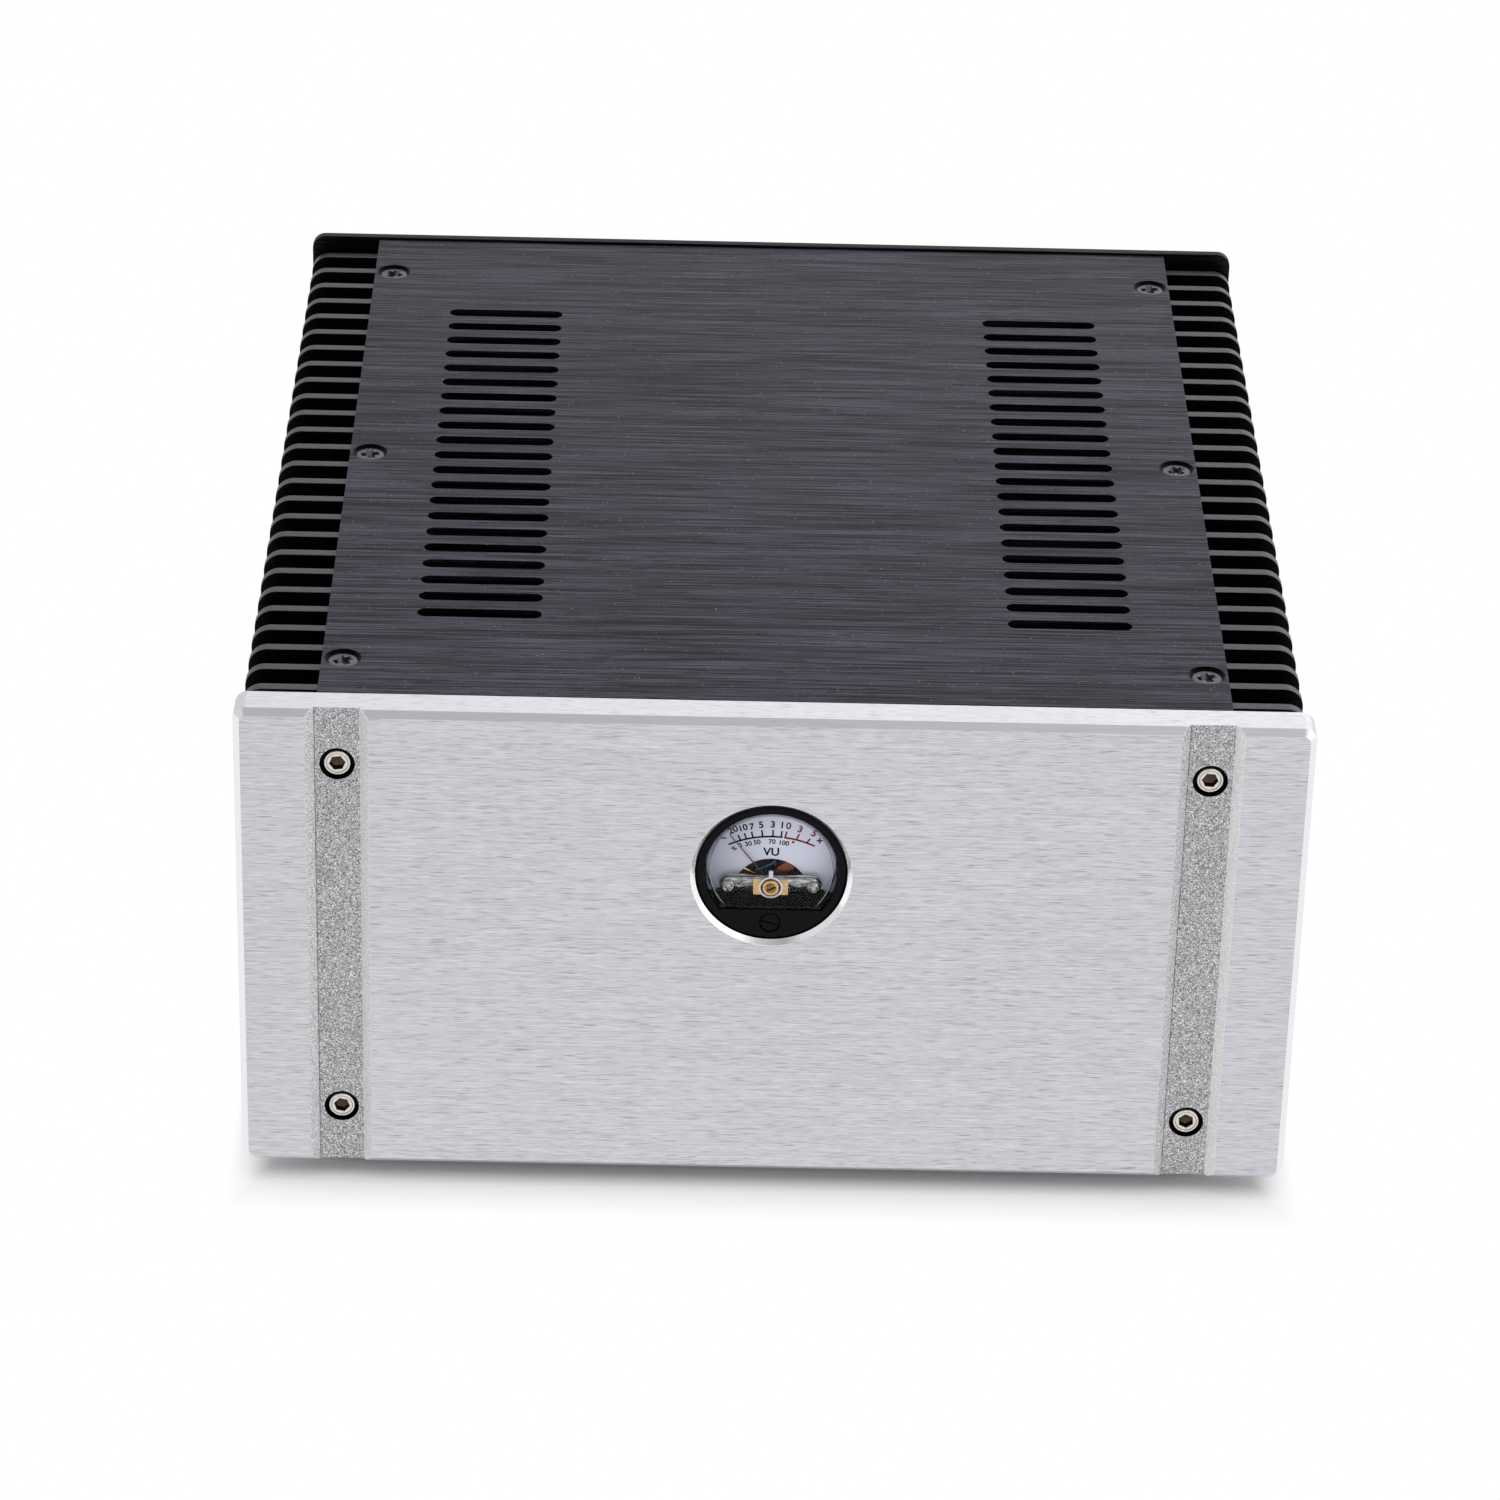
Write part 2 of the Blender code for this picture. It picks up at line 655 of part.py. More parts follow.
# Inside
def transformer(winding, steel):
    middle = (0, CASE_FRONT + COIL_MIDDLE)
    width = COIL_RADIUS - COIL_HOLE_RADIUS
    across = (COIL_RADIUS + COIL_HOLE_RADIUS) / 2
    profile = rounded(width, COIL_HEIGHT, COIL_CORNER, across, COIL_HEIGHT / 2)
    coil = turned(profile, ROUND, "Z", closed=True)
    piece("transformer", coil, winding, (*middle, FLOOR))
    top = FLOOR + COIL_HEIGHT + GAP
    hole = turned([(BOLT_RADIUS + GAP, -OVERRUN), (BOLT_RADIUS + GAP, WASHER_THICK + OVERRUN)], SMALL, "Z")
    disc = turned([(WASHER_RADIUS, 0), (WASHER_RADIUS - WASHER_THICK, WASHER_THICK)], ROUND, "Z")
    piece("transformer_washer", cut(disc, hole), steel, (*middle, top))
    seat = top + WASHER_THICK + GAP
    shank = turned([(BOLT_RADIUS, UNDERSIDE - seat), (BOLT_RADIUS, BOLT_HEAD_HEIGHT / 2)], SMALL, "Z")
    head = turned([(BOLT_HEAD_RADIUS, 0), (BOLT_HEAD_RADIUS, BOLT_HEAD_HEIGHT)], 6, "Z")
    piece("transformer_bolt", fused(head, shank), steel, (*middle, seat))


def supply_board(board_green, case_black, sleeve):
    half = SUPPLY_WIDTH / 2
    top = STANDOFF_HEIGHT + BOARD_THICK
    board = box((-half, 0, STANDOFF_HEIGHT), (half, SUPPLY_LENGTH, top))
    sink_in = BOARD_THICK / 2
    for side in (-1, 1):
        for y in (STANDOFF_INSET, SUPPLY_LENGTH - STANDOFF_INSET):
            profile = [(STANDOFF_RADIUS, 0), (STANDOFF_RADIUS, STANDOFF_HEIGHT + sink_in)]
            board = fused(board, turned(profile, TINY, "Z", side * (half - STANDOFF_INSET), y))
    middle = SUPPLY_LENGTH - BRIDGE_REAR
    low = (-BRIDGE_SIDE / 2, middle - BRIDGE_SIDE / 2, top - sink_in)
    high = (BRIDGE_SIDE / 2, middle + BRIDGE_SIDE / 2, top + BRIDGE_HEIGHT)
    front = CASE_BACK - SUPPLY_REAR - SUPPLY_LENGTH
    piece("supply_board", fused(board, box(low, high)), board_green, (0, front, FLOOR))
    bead = CAN_HEIGHT - CAN_BEAD_DROP
    profile = [
        (CAN_RADIUS, 0),
        (CAN_RADIUS, bead - CAN_BEAD),
        (CAN_RADIUS - CAN_BEAD, bead),
        (CAN_RADIUS, bead + CAN_BEAD),
        (CAN_RADIUS, CAN_HEIGHT - CAN_BEAD),
        (CAN_RADIUS - CAN_BEAD, CAN_HEIGHT),
    ]
    for name, side in (("filter_capacitor_left", -1), ("filter_capacitor_right", 1)):
        place = (side * CAN_SPACING / 2, front + CAN_FRONT, FLOOR + top + GAP)
        piece(name, turned(profile, ROUND, "Z"), sleeve, place)


def amp_board(name, side, surface):
    """An upright board on standoffs that reach the heat sink; built about its sink-side face."""
    half = AMP_LENGTH / 2
    inner = -side * BOARD_THICK
    low_x, high_x = sorted((inner, 0))
    board = box((low_x, -half, 0), (high_x, half, AMP_HEIGHT))
    reach = sorted((-side * BOARD_THICK / 2, side * (AMP_STANDOFF - GAP)))
    for y in (-half + STANDOFF_INSET, half - STANDOFF_INSET):
        for z in (STANDOFF_INSET, AMP_HEIGHT - STANDOFF_INSET):
            post = turned([(STANDOFF_RADIUS, reach[0]), (STANDOFF_RADIUS, reach[1])], TINY, "X", y, z)
            board = fused(board, post)
    step = AMP_LENGTH / (DRIVER_COUNT + 1)
    for i in range(DRIVER_COUNT):
        y = -half + step * (i + 1)
        xs = sorted((inner / 2, inner - side * DRIVER_DEPTH))
        low = (xs[0], y - DRIVER_WIDTH / 2, AMP_HEIGHT / 2)
        high = (xs[1], y + DRIVER_WIDTH / 2, AMP_HEIGHT / 2 + DRIVER_HEIGHT)
        board = fused(board, box(low, high))
        xs = sorted((inner / 2, inner - side * AMP_CAN_HEIGHT))
        can = turned([(AMP_CAN_RADIUS, xs[0]), (AMP_CAN_RADIUS, xs[1])], SMALL, "X", y, AMP_HEIGHT / 4)
        board = fused(board, can)
    x = side * (CASE_INNER / 2 - AMP_STANDOFF)
    piece(name, board, surface, (x, CASE_FRONT + AMP_MIDDLE, FLOOR + AMP_LOW))


def output_transistors(surface):
    number = 0
    for side in (-1, 1):
        for end in (-1, 1):
            number += 1
            xs = sorted((0, -side * DEVICE_THICK))
            low = (xs[0], -DEVICE_WIDTH / 2, 0)
            device = box(low, (xs[1], DEVICE_WIDTH / 2, DEVICE_HEIGHT))
            hole = [(DEVICE_HOLE_RADIUS, xs[0] - OVERRUN), (DEVICE_HOLE_RADIUS, xs[1] + OVERRUN)]
            device = cut(device, turned(hole, TINY, "X", 0, DEVICE_HEIGHT - DEVICE_HOLE_DROP))
            middle = -side * DEVICE_THICK / 2
            for lead in (-1, 0, 1):
                y = lead * LEAD_PITCH
                corner = (middle - LEAD_THICK / 2, y - LEAD_WIDTH / 2, -LEAD_LENGTH)
                far = (middle + LEAD_THICK / 2, y + LEAD_WIDTH / 2, LEAD_WIDTH)
                device = fused(device, box(corner, far))
            x = side * (CASE_INNER / 2 - GAP)
            y = CASE_FRONT + AMP_MIDDLE + end * DEVICE_SPACING / 2
            z = FLOOR + AMP_LOW + AMP_HEIGHT + DEVICE_LIFT
            piece(f"output_transistor_{number}", device, surface, (x, y, z))


# Rear connections, each built about the rear panel's outer face
def inlet_point():
    return (INLET_X, REAR_BACK, UNDERSIDE + INLET_HEIGHT)


def socket_outline(extra=0):
    """The inlet's mouth, with its two upper corners cut off."""
    half = SOCKET_WIDTH / 2
    low, high = -SOCKET_DROP - SOCKET_TALL / 2, -SOCKET_DROP + SOCKET_TALL / 2
    cut_corner = half - SOCKET_NOTCH
    return [
        (-half, low),
        (half, low),
        (half, high - SOCKET_NOTCH),
        (cut_corner, high),
        (-cut_corner, high),
        (-half, high - SOCKET_NOTCH),
    ]


def mains_inlet(surface):
    face = GAP + FLANGE_THICK
    body = prism(rounded(INLET_WIDTH, INLET_TALL, INLET_CORNER), -INLET_DEPTH, face - FLANGE_THICK / 2)
    flange = prism(rounded(FLANGE_WIDTH, FLANGE_TALL, FLANGE_CORNER), GAP, face)
    inlet = fused(flange, body)
    past = face + OVERRUN
    slot = rectangle(DRAWER_WIDTH + 2 * GAP, DRAWER_TALL + 2 * GAP, 0, DRAWER_RAISE)
    drawer = prism(slot, face - DRAWER_DEPTH - GAP, past)
    window_tall = ROCKER_TALL + 2 * ROCKER_WINDOW_CLEAR
    window = rectangle(ROCKER_WIDTH + 2 * GAP, window_tall, 0, ROCKER_RAISE)
    rocker = prism(window, face - ROCKER_POCKET, past)
    socket = prism(socket_outline(), face - SOCKET_DEPTH, past)
    inlet = cut(inlet, drawer, rocker, socket)
    floor = face - SOCKET_DEPTH
    pins = [(-PIN_SPACING, -LIVE_DROP), (PIN_SPACING, -LIVE_DROP), (0, EARTH_RAISE)]
    for x, z in pins:
        blade = rectangle(PIN_WIDTH, PIN_TALL, x, z - SOCKET_DROP)
        inlet = fused(inlet, prism(blade, floor - PIN_WIDTH, floor + PIN_LENGTH))
    piece("mains_inlet", inlet, surface, inlet_point())


def fuse_drawer(plastic, glass):
    face = GAP + FLANGE_THICK
    x, y, z = inlet_point()
    slide = hinge_point("fuse_drawer_slide", (x, y + face, z + DRAWER_RAISE))
    outline = rectangle(DRAWER_WIDTH, DRAWER_TALL)
    half_pocket = FUSE_LENGTH / 2 + GAP
    fuse_deep = 2 * FUSE_RADIUS + 2 * GAP
    low = (-half_pocket, -DRAWER_FACE - fuse_deep, -DRAWER_TALL / 2 + DRAWER_WALL)
    high = (half_pocket, -DRAWER_FACE, DRAWER_TALL / 2 + OVERRUN)
    grip_low = (-DRAWER_GRIP / 2, -DRAWER_GRIP_DEPTH, -DRAWER_TALL / 2 - OVERRUN)
    grip_high = (DRAWER_GRIP / 2, OVERRUN, -DRAWER_WALL)
    drawer = prism(outline, -DRAWER_DEPTH, 0)
    drawer = cut(drawer, box(low, high), box(grip_low, grip_high))
    piece("fuse_drawer", drawer, plastic, parent=slide)
    half = FUSE_LENGTH / 2
    inner = half - FUSE_CAP_LENGTH
    profile = [(FUSE_RADIUS, -half), (FUSE_RADIUS, -inner), (FUSE_GLASS_RADIUS, -inner)]
    profile += [(r, -along) for r, along in reversed(profile)]
    place = (0, -DRAWER_FACE - GAP - FUSE_RADIUS, -DRAWER_TALL / 2 + DRAWER_WALL + GAP + FUSE_RADIUS)
    piece("fuse", turned(profile, SMALL, "X"), glass, place, slide)


def power_rocker(surface):
    """Built level about its pivot, then tilted to its off position."""
    face = GAP + FLANGE_THICK
    half = ROCKER_TALL / 2
    outline = [
        (-ROCKER_SKIRT, half),
        (ROCKER_PEAK, half),
        (ROCKER_VALLEY, 0),
        (ROCKER_PEAK, -half),
        (-ROCKER_SKIRT, -half),
        (-ROCKER_KEEL, -ROCKER_KEEL_HALF),
        (-ROCKER_KEEL, ROCKER_KEEL_HALF),
    ]
    rocker = prism(outline, -ROCKER_WIDTH / 2, ROCKER_WIDTH / 2, "X")
    x, y, z = inlet_point()
    place = (x, y + face - ROCKER_PIVOT, z + ROCKER_RAISE)
    thing = piece("power_rocker", rocker, surface, place)
    thing.rotation_euler = (ROCKER_REST, 0, 0)


def jack_places():
    return [JACK_X - JACK_SPACING / 2, JACK_X + JACK_SPACING / 2]


def input_jacks(surface):
    flange = GAP + JACK_FLANGE_THICK
    end = flange + JACK_BARREL_LENGTH
    profile = [
        (JACK_BODY_RADIUS, -REAR_THICK - JACK_TAIL),
        (JACK_BODY_RADIUS, GAP),
        (JACK_FLANGE_RADIUS, GAP),
        (JACK_FLANGE_RADIUS, flange),
        (JACK_BARREL_RADIUS, flange),
        (JACK_BARREL_RADIUS, end),
        (JACK_HOLE_RADIUS, end),
        (JACK_HOLE_RADIUS, flange),
    ]
    for name, x in zip(("input_jack_right", "input_jack_left"), jack_places()):
        piece(name, turned(profile, SMALL), surface, (x, REAR_BACK, UNDERSIDE + JACK_HEIGHT))


def post_places():
    places = []
    for pair in (-1, 1):
        middle = POST_X + pair * POST_PAIR_SPACING / 2
        places += [middle - POST_PAIR / 2, middle + POST_PAIR / 2]
    return places


def ridged(radius, ridge, count):
    """A round outline with shallow grip ridges."""
    points = []
    for i in range(3 * count):
        turn = 2 * math.pi * i / (3 * count)
        size = radius - (ridge if i % 3 == 0 else 0)
        points.append((size * math.cos(turn), size * math.sin(turn)))
    return points


def binding_posts(metal, plastics):
    top = GAP + POST_FLANGE
    cap_front = top + GAP + POST_WASHER + GAP
    stud_end = cap_front + POST_CAP_LENGTH - POST_STUD_SHORT
    inside = -REAR_THICK - GAP
    base = [
        (POST_STUD_RADIUS, inside - POST_TAIL),
        (POST_STUD_RADIUS, inside - POST_NUT_THICK),
        (POST_NUT_RADIUS, inside - POST_NUT_THICK),
        (POST_NUT_RADIUS, inside),
        (POST_BOSS_RADIUS, inside),
        (POST_BOSS_RADIUS, GAP),
        (POST_FLANGE_RADIUS, GAP),
        (POST_FLANGE_RADIUS, top),
        (POST_STUD_RADIUS, top),
        (POST_STUD_RADIUS, stud_end),
        (POST_BORE_RADIUS, stud_end),
        (POST_BORE_RADIUS, stud_end - POST_BORE_DEPTH),
    ]
    ring_bore = POST_STUD_RADIUS + GAP
    washer = [(POST_WASHER_RADIUS, 0), (POST_WASHER_RADIUS, POST_WASHER)]
    washer += [(ring_bore, POST_WASHER), (ring_bore, 0)]
    count = POST_CAP_RIDGES * 3
    waist = POST_CAP_RADIUS - 2 * POST_CAP_RIDGE
    for number, x in enumerate(post_places(), 1):
        height = UNDERSIDE + POST_HEIGHT
        plastic = plastics[number % 2]
        piece(f"post_base_{number}", turned(base, SMALL), metal, (x, REAR_BACK, height))
        slide = hinge_point(f"post_slide_{number}", (x, REAR_BACK + top + GAP, height))
        piece(f"post_washer_{number}", turned(washer, MEDIUM, closed=True), metal, parent=slide)
        sections = [
            (circle(waist, count), 0),
            (ridged(POST_CAP_RADIUS, POST_CAP_RIDGE, POST_CAP_RIDGES), 2 * POST_CAP_RIDGE),
            (ridged(POST_CAP_RADIUS, POST_CAP_RIDGE, POST_CAP_RIDGES), POST_CAP_LENGTH - 2 * POST_CAP_RIDGE),
            (circle(waist, count), POST_CAP_LENGTH),
            (circle(ring_bore, count), POST_CAP_LENGTH),
            (circle(ring_bore, count), 0),
        ]
        place = (0, POST_WASHER + GAP, 0)
        piece(f"post_cap_{number}", lofted(sections, closed=True), plastic, place, slide)


# Level meter, each piece built about the middle of its rim's front plane
def meter_bezel(surface):
    outer = METER_SIZE / 2
    inner = outer - RIM_WIDTH
    ring = turned([(outer, 0), (outer, RIM_DEPTH), (inner, RIM_DEPTH), (inner, 0)], FINE, closed=True)
    middle = outer - RIM_WIDTH / 2
    reach = math.acos(MASK_DROP / middle)
    turns = [math.pi - reach + 2 * reach * i / ROUND for i in range(ROUND + 1)]
    segment = [(middle * math.sin(a), middle * math.cos(a)) for a in turns]
    bezel = fused(ring, prism(segment, 0, MASK_THICK))
    seat = ZERO_SETBACK + ZERO_HEAD + GAP
    head, stem = ZERO_RADIUS + GAP, ZERO_STEM_RADIUS + GAP
    profile = [(head, -OVERRUN), (head, seat), (stem, seat), (stem, MASK_THICK + OVERRUN)]
    hole = turned(profile, MEDIUM, v=-ZERO_DROP)
    piece("meter_bezel", cut(bezel, hole), surface, METER_PLACE)


def meter_window(surface):
    outer = METER_SIZE / 2 - RIM_WIDTH - GAP
    inner = outer - WINDOW_THICK
    back = WINDOW_SETBACK + WINDOW_THICK
    end = DIAL_DEPTH - GAP
    cup = turned([(outer, WINDOW_SETBACK), (outer, end), (inner, end), (inner, back)], FINE)
    low = (-outer - OVERRUN, -OVERRUN, -outer - OVERRUN)
    below = box(low, (outer + OVERRUN, end + OVERRUN, -MASK_DROP + GAP))
    piece("meter_window", cut(cup, below), surface, METER_PLACE)


def meter_dial(surface):
    radius = METER_SIZE / 2 - RIM_WIDTH - 2 * GAP
    back = DIAL_DEPTH + DIAL_THICK
    disc = turned([(radius, DIAL_DEPTH), (radius, back)], FINE)
    low = (-radius - OVERRUN, DIAL_DEPTH - OVERRUN, -radius - OVERRUN)
    below = box(low, (radius + OVERRUN, back + OVERRUN, -DIAL_CUT))
    profile = [(ARCH_RADIUS, DIAL_DEPTH - OVERRUN), (ARCH_RADIUS, back + OVERRUN)]
    arch = turned(profile, FINE, v=-ARCH_DROP)
    piece("meter_dial", cut(cut(disc, below), arch), surface, METER_PLACE)


def meter_housing(surface):
    outer = METER_SIZE / 2
    pocket = outer - RIM_WIDTH
    shelf = DIAL_DEPTH + DIAL_THICK + GAP
    profile = [
        (outer, CASE_DEPTH),
        (outer, RIM_DEPTH + GAP),
        (pocket, RIM_DEPTH + GAP),
        (pocket, shelf),
        (CHAMBER_RADIUS, shelf),
        (CHAMBER_RADIUS, CHAMBER_DEPTH),
    ]
    housing = turned(profile, FINE)
    inside = (CASE_DEPTH + CHAMBER_DEPTH) / 2
    for side in (-1, 1):
        stud = [(TERMINAL_RADIUS, inside), (TERMINAL_RADIUS, CASE_DEPTH + TERMINAL_LENGTH)]
        housing = fused(housing, turned(stud, TINY, u=side * TERMINAL_SPACING))
    piece("meter_housing", housing, surface, METER_PLACE)


def meter_magnet(surface):
    back = CHAMBER_DEPTH - GAP
    front = back - MAGNET_THICK
    base = turned([(CHAMBER_RADIUS - GAP, front), (CHAMBER_RADIUS - GAP, back)], ROUND)
    arc = sector(CORE_INNER, CORE_OUTER, CORE_START, CORE_END, SMALL)
    core = prism(moved(arc, v=-PIVOT_DROP), CORE_FRONT, CORE_BACK)
    support = sector(CORE_INNER, CORE_OUTER, CORE_FOOT, CORE_END, ARC_STEPS)
    foot = prism(moved(support, v=-PIVOT_DROP), CORE_FRONT, front + MAGNET_THICK / 2)
    piece("meter_magnet", fused(base, foot, core), surface, METER_PLACE)


def meter_bridge(surface):
    bar = prism(stadium(BAR_LENGTH, BAR_TALL), BAR_FRONT, BAR_FRONT + BAR_THICK)
    inside = BAR_FRONT + BAR_THICK / 2
    for side in (-1, 1):
        foot = [(BAR_POST_RADIUS, inside), (BAR_POST_RADIUS, DIAL_DEPTH - GAP)]
        bar = fused(bar, turned(foot, SMALL, u=side * BAR_POST_X))
    saddle = prism(rectangle(SADDLE_WIDTH, SADDLE_TALL), BAR_FRONT, BAR_FRONT + SADDLE_THICK)
    boss_front = BAR_FRONT - BOSS_HEIGHT
    boss = turned([(BOSS_RADIUS, boss_front), (BOSS_RADIUS, inside)], MEDIUM)
    jewel = turned([(JEWEL_RADIUS, boss_front - JEWEL_HEIGHT), (JEWEL_RADIUS, inside)], MEDIUM)
    bar = fused(bar, saddle, boss, jewel)
    half = JEWEL_SLOT / 2
    low = (-JEWEL_RADIUS - OVERRUN, boss_front - JEWEL_HEIGHT - OVERRUN, -half)
    slot = box(low, (JEWEL_RADIUS + OVERRUN, boss_front - JEWEL_HEIGHT / 3, half))
    x, y, z = METER_PLACE
    piece("meter_bridge", cut(bar, slot), surface, (x, y, z - PIVOT_DROP))


def needle(surface):
    """Pointer, shaft, moving coil and counterweights, which swing as one."""
    x, y, z = METER_PLACE
    magnet_front = CHAMBER_DEPTH - GAP - MAGNET_THICK
    hub_front = BAR_FRONT + SADDLE_THICK + GAP
    hub = turned([(HUB_RADIUS, hub_front), (HUB_RADIUS, magnet_front - GAP)], SMALL)
    line = spoke(0, POINTER_LENGTH, POINTER_WIDTH, POINTER_REST)
    pointer = prism(line, POINTER_FRONT, POINTER_FRONT + POINTER_THICK)
    coil = prism(spoke(COIL_INNER, COIL_OUTER, COIL_WIDE, COIL_ANGLE), COIL_FRONT, COIL_BACK)
    wide = COIL_WIDE + 2 * OVERRUN
    opening = spoke(COIL_INNER + COIL_WALL, COIL_OUTER - COIL_WALL, wide, COIL_ANGLE)
    coil = cut(coil, prism(opening, COIL_FRONT + COIL_WALL, COIL_BACK - COIL_WALL))
    arm = spoke(0, COIL_INNER + COIL_WALL / 2, COIL_ARM_WIDTH, COIL_ANGLE)
    front_arm = prism(arm, COIL_FRONT, COIL_FRONT + COIL_WALL)
    back_arm = prism(arm, COIL_BACK - COIL_WALL, COIL_BACK)
    weight_back = COIL_FRONT + WEIGHT_WIDTH
    weight = prism(spoke(0, WEIGHT_LENGTH, WEIGHT_WIDTH, WEIGHT_ANGLE), COIL_FRONT, weight_back)
    opposite = spoke(0, TAIL_WEIGHT_LENGTH, WEIGHT_WIDTH, POINTER_REST + math.pi)
    tail = prism(opposite, COIL_FRONT, weight_back)
    shape = fused(hub, pointer, coil, front_arm, back_arm, weight, tail)
    piece("meter_needle", shape, surface, (x, y, z - PIVOT_DROP))


def zero_adjust(plastic, metal):
    x, y, z = METER_PLACE
    back = BAR_FRONT - GAP
    front = back - LEVER_THICK
    ring_bore = BOSS_RADIUS + GAP
    profile = [(LEVER_RING, front), (LEVER_RING, back), (ring_bore, back), (ring_bore, front)]
    ring = turned(profile, MEDIUM, closed=True)
    inside = (LEVER_RING + ring_bore) / 2
    tab = prism(spoke(inside, TAB_REACH, TAB_WIDTH, 0), front, back)
    arm = prism(spoke(inside, FORK_START + FORK_WALL, LEVER_ARM, math.pi), front, back)
    fork_gap = 2 * PIN_RADIUS + 2 * GAP
    fork = prism(spoke(FORK_START, FORK_REACH, fork_gap + 2 * FORK_WALL, math.pi), front, back)
    mouth = spoke(FORK_START + FORK_WALL, FORK_REACH + OVERRUN, fork_gap, math.pi)
    mouth = prism(mouth, front - OVERRUN, back + OVERRUN)
    lever = cut(fused(ring, tab, arm, fork), mouth)
    piece("zero_adjust_lever", lever, metal, (x, y, z - PIVOT_DROP))
    collar_front = MASK_THICK + GAP
    collar_back = collar_front + ZERO_COLLAR
    profile = [
        (ZERO_RADIUS, ZERO_SETBACK),
        (ZERO_RADIUS, ZERO_SETBACK + ZERO_HEAD),
        (ZERO_STEM_RADIUS, ZERO_SETBACK + ZERO_HEAD),
        (ZERO_STEM_RADIUS, collar_front),
        (ZERO_COLLAR_RADIUS, collar_front),
        (ZERO_COLLAR_RADIUS, collar_back),
    ]
    screw = turned(profile, MEDIUM)
    pin = turned([(PIN_RADIUS, collar_back - ZERO_COLLAR / 2), (PIN_RADIUS, back + GAP)], TINY, v=PIN_OFFSET)
    slot = spoke(-ZERO_RADIUS - OVERRUN, ZERO_RADIUS + OVERRUN, ZERO_SLOT, math.pi / 2 - ZERO_SLOT_TILT)
    screw = cut(fused(screw, pin), prism(slot, ZERO_SETBACK - OVERRUN, ZERO_SETBACK + ZERO_SLOT_DEPTH))
    piece("zero_adjust_screw", screw, plastic, (x, y, z - ZERO_DROP))


def meter_clamp(surface):
    x, _, z = METER_PLACE
    plate = prism(rounded(CLAMP_WIDTH, CLAMP_TALL, FLANGE_CORNER), 0, CLAMP_THICK)
    past = CLAMP_THICK + OVERRUN
    bore_radius = METER_SIZE / 2 + GAP
    tools = [turned([(bore_radius, -OVERRUN), (bore_radius, past)], FINE)]
    for side in (-1, 1):
        hole = [(CLAMP_HOLE_RADIUS, -OVERRUN), (CLAMP_HOLE_RADIUS, past)]
        tools.append(turned(hole, TINY, u=side * CLAMP_HOLE_X))
    piece("meter_clamp", cut(plate, *tools), surface, (x, CASE_FRONT, z))


def build_case():
    brushed_silver = finish("brushed silver aluminium", (0.62, 0.62, 0.64), 0.35, 1.0)
    brushed_black = finish("brushed black aluminium", (0.035, 0.035, 0.04), 0.4, 0.6)
    anodised_black = finish("black anodised aluminium", (0.012, 0.012, 0.013), 0.5, 0.3)
    nickel = finish("nickel-plated steel", (0.66, 0.64, 0.6), 0.25, 1.0)
    black_steel = finish("black steel", (0.03, 0.03, 0.032), 0.3, 0.8)
    rubber = finish("black rubber", (0.012, 0.012, 0.012), 0.8)
    front_panel(brushed_silver)
    top_cover(brushed_black)
    bottom_plate(brushed_black)
    heat_sink("heat_sink_left", -1, anodised_black)
    heat_sink("heat_sink_right", 1, anodised_black)
    rear_panel(brushed_black)
    socket_cap_screws(nickel)
    countersunk_screws(black_steel)
    feet(rubber)


def build_inside():
    tape = finish("yellow winding tape", (0.55, 0.38, 0.04), 0.45)
    zinc = finish("zinc-plated steel", (0.55, 0.55, 0.52), 0.35, 1.0)
    green = finish("green circuit board", (0.01, 0.11, 0.03), 0.4)
    sleeve = finish("black capacitor sleeve", (0.02, 0.02, 0.03), 0.3)
    epoxy = finish("black epoxy", (0.02, 0.02, 0.02), 0.5)
    transformer(tape, zinc)
    supply_board(green, epoxy, sleeve)
    amp_board("amp_board_left", -1, green)
    amp_board("amp_board_right", 1, green)
    output_transistors(epoxy)


def build_rear():
    thermoplastic = finish("black thermoplastic", (0.015, 0.015, 0.016), 0.45)
    glass = finish("fuse glass", (0.8, 0.82, 0.82), 0.1, 0.0, 0.5)
    gold = finish("gold-plated brass", (0.8, 0.56, 0.2), 0.25, 1.0)
    red = finish("red thermoplastic", (0.5, 0.01, 0.01), 0.35)
    mains_inlet(thermoplastic)
    fuse_drawer(thermoplastic, glass)
    power_rocker(thermoplastic)
    input_jacks(gold)
    binding_posts(gold, (thermoplastic, red))


def build_meter():
    moulding = finish("black meter moulding", (0.01, 0.01, 0.011), 0.3)
    clear = finish("clear acrylic", (0.95, 0.96, 0.97), 0.05, 0.0, 0.2)
    paper = finish("pale blue-grey dial", (0.46, 0.48, 0.58), 0.6)
    iron = finish("magnet iron", (0.1, 0.1, 0.11), 0.5, 0.8)
    chrome = finish("chromed brass", (0.6, 0.6, 0.58), 0.15, 1.0)
    red_paint = finish("dark red needle paint", (0.16, 0.01, 0.015), 0.4)
    aluminium = finish("bright aluminium", (0.7, 0.7, 0.72), 0.3, 1.0)
    meter_bezel(moulding)
    meter_window(clear)
    meter_dial(paper)
    meter_housing(moulding)
    meter_magnet(iron)
    meter_bridge(chrome)
    needle(red_paint)
    zero_adjust(moulding, aluminium)
    meter_clamp(aluminium)


def main():
    for thing in list(bpy.data.objects):
        bpy.data.objects.remove(thing)
    build_case()
    build_inside()
    build_rear()
    build_meter()


main()
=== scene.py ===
import json
import math

import bmesh
import bpy
from mathutils import Matrix, Vector

